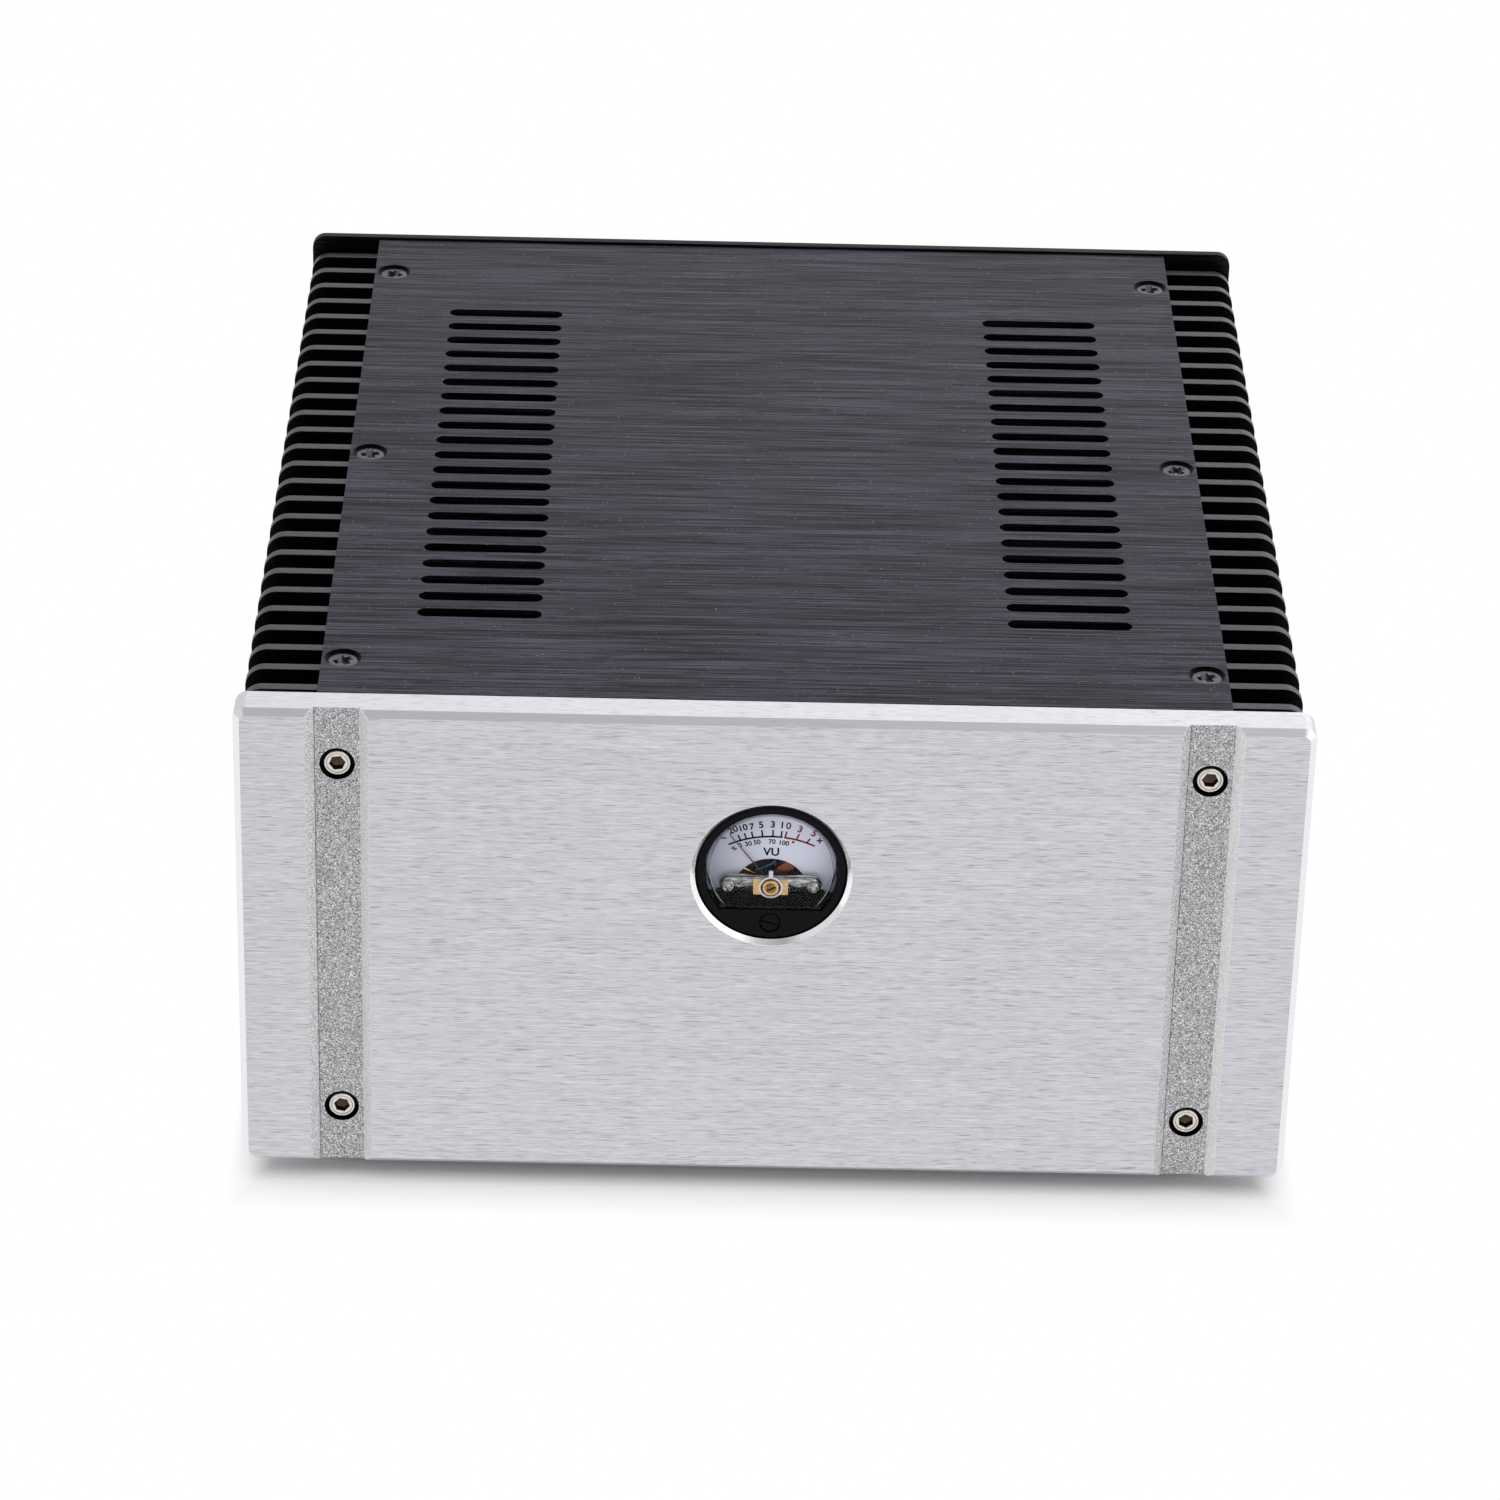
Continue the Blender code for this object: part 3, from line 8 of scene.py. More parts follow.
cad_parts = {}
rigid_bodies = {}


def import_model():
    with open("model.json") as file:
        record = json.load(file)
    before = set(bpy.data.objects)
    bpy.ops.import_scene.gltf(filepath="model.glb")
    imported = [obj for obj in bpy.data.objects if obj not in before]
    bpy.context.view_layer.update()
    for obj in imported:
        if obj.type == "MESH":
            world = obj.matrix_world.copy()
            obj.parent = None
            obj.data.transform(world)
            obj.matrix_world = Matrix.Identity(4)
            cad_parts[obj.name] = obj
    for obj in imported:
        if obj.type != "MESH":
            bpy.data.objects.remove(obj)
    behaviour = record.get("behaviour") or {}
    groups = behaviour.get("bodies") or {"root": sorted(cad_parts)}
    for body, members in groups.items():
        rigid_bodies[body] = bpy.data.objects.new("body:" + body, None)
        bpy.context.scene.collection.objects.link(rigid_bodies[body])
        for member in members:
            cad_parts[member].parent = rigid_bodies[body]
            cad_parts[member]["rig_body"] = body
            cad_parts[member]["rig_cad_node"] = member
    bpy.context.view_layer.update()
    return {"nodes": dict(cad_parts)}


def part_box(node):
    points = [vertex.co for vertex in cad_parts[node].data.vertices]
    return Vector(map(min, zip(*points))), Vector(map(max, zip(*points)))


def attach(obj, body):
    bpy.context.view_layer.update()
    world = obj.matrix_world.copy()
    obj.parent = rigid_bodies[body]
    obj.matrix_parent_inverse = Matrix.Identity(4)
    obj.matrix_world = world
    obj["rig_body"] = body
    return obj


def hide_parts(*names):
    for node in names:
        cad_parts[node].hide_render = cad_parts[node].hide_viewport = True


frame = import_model()

mm = 0.001
weldGap = 0.001 * mm
nodeSpacing = 180  # between shader nodes in the editor
past = 2 * mm  # how far a cutter runs past the face that it opens
axes = {"X": (Vector((0, 0, 1)), Vector((1, 0, 0))),  # a turned shape's outward way, and its axis
        "Y": (Vector((1, 0, 0)), Vector((0, 1, 0))),
        "Z": (Vector((1, 0, 0)), Vector((0, 0, 1)))}
print("frame loaded:", len(frame["nodes"]), "nodes")


# Places read from the frame
def lowOf(node):
    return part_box(node)[0]


def highOf(node):
    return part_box(node)[1]


def middleOf(node):
    low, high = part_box(node)
    return (low + high) / 2


front = lowOf("front_panel").y  # the panel's face
underside = lowOf("front_panel").z
topside = highOf("front_panel").z
rearFace = highOf("rear_panel").y
meterMiddle = middleOf("meter_bezel")
meterMiddle.y = lowOf("meter_bezel").y
pivotDrop = 7.0  # the needle's axis below the meter's middle


# Small tools
def openMesh():
    bpy.ops.object.mode_set(mode="EDIT")


def closeMesh():
    bpy.ops.object.mode_set(mode="OBJECT")


def selectAll():
    bpy.ops.mesh.select_all(action="SELECT")


def bakePlace():
    bpy.ops.object.transform_apply(location=True, rotation=True, scale=True)


def discard(*pieces):
    for piece in pieces:
        bpy.data.objects.remove(piece)


def plain():
    # object mode with nothing selected
    if bpy.context.object and bpy.context.object.mode != "OBJECT":
        closeMesh()
    bpy.ops.object.select_all(action="DESELECT")


def choose(*pieces):
    plain()
    for piece in pieces:
        piece.select_set(True)
    bpy.context.view_layer.objects.active = pieces[0]


def settle(name):
    # names the piece just added and moves its place into its mesh
    piece = bpy.context.object
    piece.name = name
    piece.data.name = name
    bakePlace()
    return piece


def pick(kind, test):
    # in edit mode: selects the faces, edges or points whose middle and direction pass the test
    bpy.ops.mesh.select_all(action="DESELECT")
    bpy.ops.mesh.select_mode(type=kind)
    shape = bmesh.from_edit_mesh(bpy.context.object.data)
    if kind == "FACE":
        for face in shape.faces:
            face.select_set(test(face.calc_center_median(), face.normal))
    elif kind == "EDGE":
        for edge in shape.edges:
            start, end = (point.co for point in edge.verts)
            edge.select_set(test((start + end) / 2, (end - start).normalized()))
    else:
        for point in shape.verts:
            point.select_set(test(point.co, point.normal))
    bmesh.update_edit_mesh(bpy.context.object.data)


def block(name, low, high):
    plain()
    low, high = Vector(low), Vector(high)
    bpy.ops.mesh.primitive_cube_add(size=1, location=(low + high) / 2, scale=high - low)
    return settle(name)


def roundCorners(piece, way, radius, steps=8, test=None):
    # rounds the edges that run along one axis, all of them or those that pass the test
    choose(piece)
    openMesh()
    axis = axes[way][1]
    pick("EDGE", lambda middle, run: abs(run.dot(axis)) > 0.99 and (test is None or test(middle)))
    bpy.ops.mesh.bevel(offset=radius, segments=steps, affect="EDGES", clamp_overlap=True)
    closeMesh()
    return piece


def lathe(name, profile, place, way="Y", sides=64):
    # a point drawn out along the profile of radius and depth in mm, then spun about the axis
    plain()
    out, along = axes[way]
    place = Vector(place)
    points = [place + out * radius * mm + along * depth * mm for radius, depth in profile]
    bpy.ops.mesh.primitive_plane_add(size=mm, location=points[0])
    piece = settle(name)
    openMesh()
    bpy.ops.mesh.select_mode(type="VERT")
    selectAll()
    bpy.ops.mesh.merge(type="CENTER")
    for before, after in zip(points, points[1:]):
        bpy.ops.mesh.extrude_vertices_move(TRANSFORM_OT_translate={"value": after - before})
    selectAll()
    bpy.ops.mesh.spin(steps=sides, angle=2 * math.pi, center=place, axis=along)
    selectAll()
    bpy.ops.mesh.remove_doubles(threshold=weldGap)
    bpy.ops.mesh.normals_make_consistent(inside=False)
    closeMesh()
    return piece


def rod(name, radius, start, end, place, way="Y", sides=64):
    return lathe(name, [(0, start), (radius, start), (radius, end), (0, end)], place, way, sides)


def turnAbout(piece, degrees, way, place):
    choose(piece)
    axis = axes[way][1]
    piece.matrix_world = turning(degrees, axis, Vector(place)) @ piece.matrix_world
    bakePlace()
    return piece


def turning(degrees, axis, place):
    there = Matrix.Translation(place)
    return there @ Matrix.Rotation(math.radians(degrees), 4, axis) @ there.inverted()


def copyTo(piece, name, step):
    choose(piece)
    bpy.ops.object.duplicate()
    bpy.ops.transform.translate(value=step)
    return settle(name)


def joinUp(name, *pieces):
    choose(*pieces)
    bpy.ops.object.join()
    return settle(name)


def merge(piece, other, how="UNION"):
    choose(piece)
    joint = piece.modifiers.new("joint", "BOOLEAN")
    joint.operation = how
    joint.object = other
    joint.solver = "EXACT"
    joint.material_mode = "TRANSFER"
    bpy.ops.object.modifier_apply(modifier=joint.name)
    discard(other)
    return piece


def carve(piece, *cutters):
    for cutter in cutters:
        merge(piece, cutter, "DIFFERENCE")
    return piece


def trim(piece, place, normal):
    # keeps what lies behind the plane
    choose(piece)
    openMesh()
    selectAll()
    bpy.ops.mesh.bisect(plane_co=place, plane_no=normal, use_fill=True, clear_outer=True)
    closeMesh()
    return piece


def easeEdges(piece, width, steps=2, sharpest=32):
    # a fine round on every edge that would otherwise be a knife edge
    choose(piece)
    ease = piece.modifiers.new("ease", "BEVEL")
    ease.width = width * mm
    ease.segments = steps
    ease.limit_method = "ANGLE"
    ease.angle_limit = math.radians(sharpest)
    ease.miter_outer = "MITER_ARC"
    bpy.ops.object.modifier_apply(modifier=ease.name)
    bpy.ops.object.shade_smooth_by_angle(angle=math.radians(sharpest))
    even = piece.modifiers.new("even", "WEIGHTED_NORMAL")
    even.keep_sharp = True
    bpy.ops.object.modifier_apply(modifier=even.name)
    return piece


def copyNode(node, name, width=0.15):
    # a node's own shape, welded, with its edges eased
    choose(frame["nodes"][node])
    bpy.ops.object.duplicate()
    piece = bpy.context.object
    piece.parent = None
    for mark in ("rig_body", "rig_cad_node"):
        del piece[mark]
    bpy.ops.mesh.customdata_custom_splitnormals_clear()
    openMesh()
    selectAll()
    bpy.ops.mesh.remove_doubles(threshold=weldGap)
    bpy.ops.mesh.dissolve_limited(angle_limit=math.radians(1))
    bpy.ops.mesh.normals_make_consistent(inside=False)
    closeMesh()
    piece = settle(name)
    return easeEdges(piece, width)


def giveFinish(piece, number, test):
    # puts the piece's numbered finish on the faces that pass the test
    choose(piece)
    openMesh()
    pick("FACE", test)
    piece.active_material_index = number
    bpy.ops.object.material_slot_assign()
    closeMesh()


def coat(piece, *finishes):
    for finish in finishes:
        piece.data.materials.append(surfaces[finish])


def fit(piece, finish, body, slotName, *nodes):
    # gives a piece its finish and its body, and hides the frame nodes that it stands for; slotName is not
    # used
    if finish:
        piece.data.materials.clear()
        coat(piece, finish)
    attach(piece, body)
    if nodes:
        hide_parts(*nodes)
    return piece


def keepNode(node, name, width, finish, body, slotName):
    # a piece in a node's own shape, with eased edges and a finer finish
    return fit(copyNode(node, name, width), finish, body, slotName, node)


def paint(finish, *nodes):
    for node in nodes:
        for holder in frame["nodes"][node].material_slots:
            holder.material = surfaces[finish]


# Shader tools
def hexColour(text):
    # sRGB hex to the linear values that a shader wants
    parts = [int(text[i:i + 2], 16) / 255 for i in (0, 2, 4)]
    return (*(c / 12.92 if c <= 0.04045 else ((c + 0.055) / 1.055) ** 2.4 for c in parts), 1)


def plug(tree, node, inputs):
    # an input takes a value, a hex colour, a socket, or a node's first live output
    for key, value in inputs.items():
        if isinstance(value, str):
            value = hexColour(value)
        if isinstance(value, bpy.types.Node):
            value = next(socket for socket in value.outputs if socket.enabled)
        if isinstance(value, bpy.types.NodeSocket):
            tree.links.new(value, node.inputs[key])
        else:
            node.inputs[key].default_value = value


def addNode(tree, kind, inputs, **settings):
    node = tree.nodes.new("ShaderNode" + kind)
    node.location = (len(tree.nodes) * nodeSpacing, 0)
    for setting, value in settings.items():
        setattr(node, setting, value)
    plug(tree, node, inputs)
    return node


def grain(tree, size, detail=2.0, shift=0.0):
    # noise whose spots have the given size in mm, one for all ways or three along x, y and z
    sides = size if isinstance(size, tuple) else (size, size, size)
    where = addNode(tree, "TexCoord", {}).outputs["Object"]
    spread = addNode(tree, "Mapping", {"Vector": where, "Scale": [1 / (side * mm) for side in sides],
                                       "Location": (shift, shift, shift)})
    return addNode(tree, "TexNoise", {"Vector": spread, "Scale": 1.0, "Detail": detail})


def newSurface(name, inputs):
    surface = bpy.data.materials.new(name)
    surface.use_nodes = True
    plug(surface.node_tree, surface.node_tree.nodes["Principled BSDF"], inputs)
    return surface, surface.node_tree


def dress(surface, tone, height, strength, depth, gloss, span=None):
    # ends a finish with its colour, its relief of a depth in mm and its gloss, even or within a span
    tree = surface.node_tree
    if span:
        gloss = addNode(tree, "MapRange", {"Value": gloss, "To Min": span[0], "To Max": span[1]})
    relief = addNode(tree, "Bump", {"Height": height, "Strength": strength, "Distance": depth * mm})
    plug(tree, tree.nodes["Principled BSDF"], {"Base Color": tone, "Roughness": gloss, "Normal": relief})
    return surface


# Metals of the case
brushed = {"shade": "bcbbc1", "light": "e0dfe5", "scratch": "8e8e94", "lineLength": 24, "dashLength": 4,
           "lineWidth": 0.19}


def brushedAluminium():
    # plate brushed level and clear anodised: satin, fine straight lines with short dark scratches
    surface, tree = newSurface("brushedAluminium", {"Metallic": 1.0})
    long, short, thin = brushed["lineLength"], brushed["dashLength"], brushed["lineWidth"]
    lines = grain(tree, (long, thin, thin), 3.0)
    marks = grain(tree, (short, thin, thin), 1.0, 5.0)
    dashes = grain(tree, (short * 1.6, thin * 1.2, thin * 1.2), 0.0, 7.0)
    cloud = grain(tree, (90, 40, 40), 1.0, 3.0)
    both = addNode(tree, "Math", {0: lines, 1: marks}, operation="ADD")
    light = addNode(tree, "MapRange", {"Value": both, "From Min": 0.68, "From Max": 1.32})
    tone = addNode(tree, "Mix", {0: light, 6: brushed["shade"], 7: brushed["light"]}, data_type="RGBA")
    dark = addNode(tree, "MapRange", {"Value": dashes, "From Min": 0.66, "From Max": 0.78, "To Max": 0.7})
    scratched = addNode(tree, "Mix", {0: dark, 6: tone, 7: brushed["scratch"]}, data_type="RGBA")
    return dress(surface, scratched, lines, 0.25, 0.015, cloud, (0.28, 0.38))


beadSize = 0.27  # mm, one dimple of the blasted faces


def blasted(name, dark, light):
    # bead-blasted aluminium: matt, small dimples each of its own tone, and painted glints: a few dimples
    # painted near white
    surface, tree = newSurface(name, {"Metallic": 1.0})
    where = addNode(tree, "TexCoord", {}).outputs["Object"]
    dimples = addNode(tree, "TexVoronoi", {"Vector": where, "Scale": 1 / (beadSize * mm)})
    shares = addNode(tree, "SeparateColor", {"Color": dimples.outputs["Color"]})
    tone = addNode(tree, "Mix", {0: shares, 6: dark, 7: light}, data_type="RGBA")
    # painted glint: the few dimples past the threshold are painted near white
    paintedGlint = addNode(tree, "MapRange", {"Value": shares.outputs["Green"], "From Min": 0.93, "From Max": 0.95,
                                       "To Max": 0.9})
    tonedWithPaintedGlints = addNode(tree, "Mix", {0: paintedGlint, 6: tone, 7: "ffffff"}, data_type="RGBA")
    return dress(surface, tonedWithPaintedGlints, dimples, 0.4, 0.05, 0.5)


coverBrush = {"shade": "19181f", "light": "4b4a56", "scratch": "0e0d12", "lineLength": 50, "dashLength": 8,
              "thin": 0.52, "bandShare": 0.34, "dustShare": 0.5}
sheetBrush = {"shade": "131315", "light": "2e2e32", "scratch": "0d0d0f", "lineLength": 45, "dashLength": 8,
              "thin": 0.24, "bandShare": 0.06, "dustShare": 0.12}


def blackBrushedAluminium(name, brush):
    # brushed along x and black anodised: charcoal satin with fine uneven streaks and a few dust specks;
    # the dyed oxide keeps it nearly as dark at low angles as from straight above
    surface, tree = newSurface(name, {"Metallic": 1.0, "Specular Tint": (0.8, 0.8, 0.8, 1)})
    long, short, thin = brush["lineLength"], brush["dashLength"], brush["thin"]
    bandShare = brush["bandShare"]
    lines = grain(tree, (long, thin, thin), 3.0)
    bands = grain(tree, (long, thin * 7, thin * 7), 2.0, 4.0)
    dashes = grain(tree, (short, thin * 0.8, thin * 0.8), 1.0, 9.0)
    dust = grain(tree, 0.55, 0.0, 2.0)
    both = addNode(tree, "Math", {0: bands, 1: bandShare, 2: lines}, operation="MULTIPLY_ADD")
    share = addNode(tree, "MapRange", {"Value": both, "From Min": 0.42 + bandShare / 2,
                                       "From Max": 0.62 + bandShare / 2})
    tone = addNode(tree, "Mix", {0: share, 6: brush["shade"], 7: brush["light"]}, data_type="RGBA")
    dark = addNode(tree, "MapRange", {"Value": dashes, "From Min": 0.6, "From Max": 0.7, "To Max": 0.85})
    scratched = addNode(tree, "Mix", {0: dark, 6: tone, 7: brush["scratch"]}, data_type="RGBA")
    speck = addNode(tree, "MapRange", {"Value": dust, "From Min": 0.83, "From Max": 0.86,
                                       "To Max": brush["dustShare"]})
    dusty = addNode(tree, "Mix", {0: speck, 6: scratched, 7: "b0b0b4"}, data_type="RGBA")
    return dress(surface, dusty, lines, 0.3, 0.03, bands, (0.32, 0.44))


def blackAnodisedExtrusion():
    # heat sinks, extruded and black anodised: dark satin with faint draw lines; faces that point up are
    # painted lighter, partly as dusty saw-cut ends and partly as painted light from above, and the bottom
    # ends keep the dark tone
    surface, tree = newSurface("blackAnodisedExtrusion", {"Metallic": 1.0})
    where = addNode(tree, "TexCoord", {})
    facing = addNode(tree, "SeparateXYZ", {0: where.outputs["Normal"]}).outputs["Z"]
    drawn = grain(tree, (0.4, 0.4, 30), 2.0)
    dust = grain(tree, (2.6, 0.5, 1.6), 3.0, 6.0)
    flank = addNode(tree, "Mix", {0: drawn, 6: "141417", 7: "1e1e22"}, data_type="RGBA")
    sawnEndsAndPaintedLight = addNode(tree, "Mix", {0: dust, 6: "313136", 7: "5a5a60"}, data_type="RGBA")
    # painted light: the mask follows which way a face points, so only the upward faces are lightened
    upFacingPaintedLight = addNode(tree, "MapRange", {"Value": facing, "From Min": 0.35, "From Max": 0.9})
    tone = addNode(tree, "Mix", {0: upFacingPaintedLight, 6: flank, 7: sawnEndsAndPaintedLight}, data_type="RGBA")
    return dress(surface, tone, drawn, 0.2, 0.03, 0.4)


def variedMetal(name, dark, light, smooth, rough, spot=0.9, depth=0.03, detail=3.0, strength=0.25):
    # a metal whose tone and gloss vary from spot to spot, as plating, tarnish or tool marks do
    surface, tree = newSurface(name, {"Metallic": 1.0})
    patch = grain(tree, spot, detail)
    tone = addNode(tree, "Mix", {0: patch, 6: dark, 7: light}, data_type="RGBA")
    return dress(surface, tone, patch, strength, depth, patch, (smooth, rough))


def chromePlate():
    # chrome over brass inside the dark case, with painted reflections: its colour painted bright along the
    # top and black lower down, where it mirrors the recess
    surface, tree = newSurface("chromePlatedBrass", {"Metallic": 1.0})
    where = addNode(tree, "TexCoord", {})
    height = addNode(tree, "SeparateXYZ", {0: where.outputs["Object"]}).outputs["Z"]
    middle = meterMiddle.z - pivotDrop * mm
    # painted reflection: the colour rises from black to bright with height
    rise = addNode(tree, "MapRange", {"Value": height, "From Min": middle - 2.6 * mm,
                                      "From Max": middle + 3.2 * mm})
    smear = grain(tree, (2.6, 1.0, 0.7), 2.0)
    paintedReflectionMask = addNode(tree, "Math", {0: smear, 1: 1.1, 2: rise}, operation="MULTIPLY_ADD")
    shade = addNode(tree, "MapRange", {"Value": paintedReflectionMask, "From Min": 1.0, "From Max": 1.7})
    tone = addNode(tree, "Mix", {0: shade, 6: "1c1e1b", 7: "e6eae2"}, data_type="RGBA")
    return dress(surface, tone, smear, 0.25, 0.1, smear, (0.05, 0.14))


def copperWinding():
    # enamelled copper wire wound side by side: reddish brown with a line at each turn
    surface, tree = newSurface("copperWinding", {"Metallic": 1.0})
    where = addNode(tree, "TexCoord", {}).outputs["Object"]
    turned = addNode(tree, "Mapping", {"Vector": where, "Rotation": (0, math.radians(50), 0)})
    turns = addNode(tree, "TexWave", {"Vector": turned, "Scale": 1 / (0.9 * mm), "Distortion": 0.6,
                                      "Detail": 1.0}, bands_direction="X")
    patch = grain(tree, 1.2, 2.0)
    strand = addNode(tree, "Mix", {0: turns, 6: "6e3524", 7: "cf7d5c"}, data_type="RGBA")
    tone = addNode(tree, "Mix", {0: patch, 6: strand, 7: "9c5138"}, data_type="RGBA")
    return dress(surface, tone, turns, 0.6, 0.08, 0.35)


# Plastics, rubber, glass and print
def moulding(name, dark, light, rough, spot=0.5, depth=0.03, shine=0.3):
    # injection-moulded plastic: an even colour under a fine spark-eroded texture
    surface, tree = newSurface(name, {"Metallic": 0.0, "IOR": 1.5, "Specular IOR Level": shine})
    texture = grain(tree, spot, 3.0)
    cloud = grain(tree, 14, 2.0, 2.0)
    tone = addNode(tree, "Mix", {0: cloud, 6: dark, 7: light}, data_type="RGBA")
    return dress(surface, tone, texture, 0.25, depth, texture, (rough - 0.08, rough + 0.08))


def seeThrough(name, tint, power, mirrorSpan, roughSpan, spot, detail, strength):
    # clear seen straight through, a mirror towards low angles, with a slight wave or bloom
    surface, tree = newSurface(name, {})
    tree.nodes.remove(tree.nodes["Principled BSDF"])
    facing = addNode(tree, "LayerWeight", {"Blend": 0.5}).outputs["Facing"]
    steep = addNode(tree, "Math", {0: facing, 1: power}, operation="POWER")
    mirror = addNode(tree, "MapRange", {"Value": steep, "To Min": mirrorSpan[0], "To Max": mirrorSpan[1]})
    wave = grain(tree, spot, detail)
    hazy = addNode(tree, "MapRange", {"Value": wave, "To Min": roughSpan[0], "To Max": roughSpan[1]})
    relief = addNode(tree, "Bump", {"Height": wave, "Strength": strength, "Distance": 0.1 * mm})
    clear = addNode(tree, "BsdfTransparent", {"Color": tint})
    shine = addNode(tree, "BsdfGlossy", {"Color": "ffffff", "Roughness": hazy, "Normal": relief})
    both = addNode(tree, "MixShader", {0: mirror, 1: clear, 2: shine})
    plug(tree, tree.nodes["Material Output"], {"Surface": both})
    return surface


def dialPaper():
    # lacquered aluminium dial: pale blue-grey satin, with painted shade: lightest near a spot to its upper
    # right and darker away from it, towards its lower left
    surface, tree = newSurface("dialPaper", {"Metallic": 0.0, "IOR": 1.45})
    fleck = grain(tree, 0.6, 3.0)
    where = addNode(tree, "TexCoord", {}).outputs["Object"]
    # painted light and shade: a pool of light at the upper right, fading to shade with distance
    bright = meterMiddle + Vector((8, 7.5, 7)) * mm
    away = addNode(tree, "VectorMath", {0: where, 1: bright}, operation="DISTANCE")
    paintedShadeFall = addNode(tree, "MapRange", {"Value": away.outputs["Value"], "From Min": 6 * mm,
                                      "From Max": 26 * mm})
    tone = addNode(tree, "Mix", {0: paintedShadeFall, 6: "e4e7f1", 7: "bcbfca"}, data_type="RGBA")
    return dress(surface, tone, fleck, 0.1, 0.02, fleck, (0.45, 0.6))


def ink(name, dark, light):
    # screen-printed ink: matt, a touch uneven in cover
    surface, tree = newSurface(name, {"Metallic": 0.0, "Roughness": 0.8, "Specular IOR Level": 0.1})
    tone = addNode(tree, "Mix", {0: grain(tree, 0.35, 2.0), 6: dark, 7: light}, data_type="RGBA")
    plug(tree, tree.nodes["Principled BSDF"], {"Base Color": tone})
    return surface


def needlePaint():
    # the pointer's lacquer: dark red towards the tip, near black at the hub
    surface, tree = newSurface("needlePaint", {"Metallic": 0.0, "Roughness": 0.4})
    where = addNode(tree, "TexCoord", {})
    height = addNode(tree, "SeparateXYZ", {0: where.outputs["Object"]}).outputs["Z"]
    low = meterMiddle.z - pivotDrop * mm
    rise = addNode(tree, "MapRange", {"Value": height, "From Min": low + 4 * mm, "From Max": low + 13 * mm})
    red = addNode(tree, "Mix", {0: grain(tree, 0.8, 2.0), 6: "7a1420", 7: "9c2430"}, data_type="RGBA")
    tone = addNode(tree, "Mix", {0: rise, 6: "2c0c10", 7: red}, data_type="RGBA")
    plug(tree, tree.nodes["Principled BSDF"], {"Base Color": tone})
    return surface


def circuitBoard():
    # glass-epoxy board with green solder resist: faint track relief under a glossy coat
    surface, tree = newSurface("circuitBoard", {"Metallic": 0.0, "IOR": 1.5})
    where = addNode(tree, "TexCoord", {}).outputs["Object"]
    tracks = addNode(tree, "TexVoronoi", {"Vector": where, "Scale": 1 / (7 * mm)}, distance="MANHATTAN")
    line = addNode(tree, "MapRange", {"Value": tracks, "From Min": 0.3, "From Max": 0.36})
    tone = addNode(tree, "Mix", {0: line, 6: "1f5c34", 7: "12401f"}, data_type="RGBA")
    return dress(surface, tone, line, 0.3, 0.05, 0.32)


def woundTape():
    # transformer wrapped in polyester tape: amber, shiny, with an overlapping edge at every turn
    surface, tree = newSurface("woundTape", {"Metallic": 0.0, "IOR": 1.55})
    where = addNode(tree, "TexCoord", {}).outputs["Object"]
    middle = middleOf("transformer")
    centred = addNode(tree, "Mapping", {"Vector": where, "Location": (-middle.x, -middle.y, 0)})
    part = addNode(tree, "SeparateXYZ", {0: centred})
    angle = addNode(tree, "Math", {0: part.outputs["Y"], 1: part.outputs["X"]}, operation="ARCTAN2")
    laps = addNode(tree, "Math", {0: angle, 1: 46 / (2 * math.pi)}, operation="MULTIPLY")
    lap = addNode(tree, "Math", {0: laps}, operation="FRACT")
    tone = addNode(tree, "Mix", {0: lap, 6: "8a5a16", 7: "d9a53c"}, data_type="RGBA")
    return dress(surface, tone, lap, 0.6, 0.2, grain(tree, (3, 3, 8), 3.0), (0.2, 0.45))


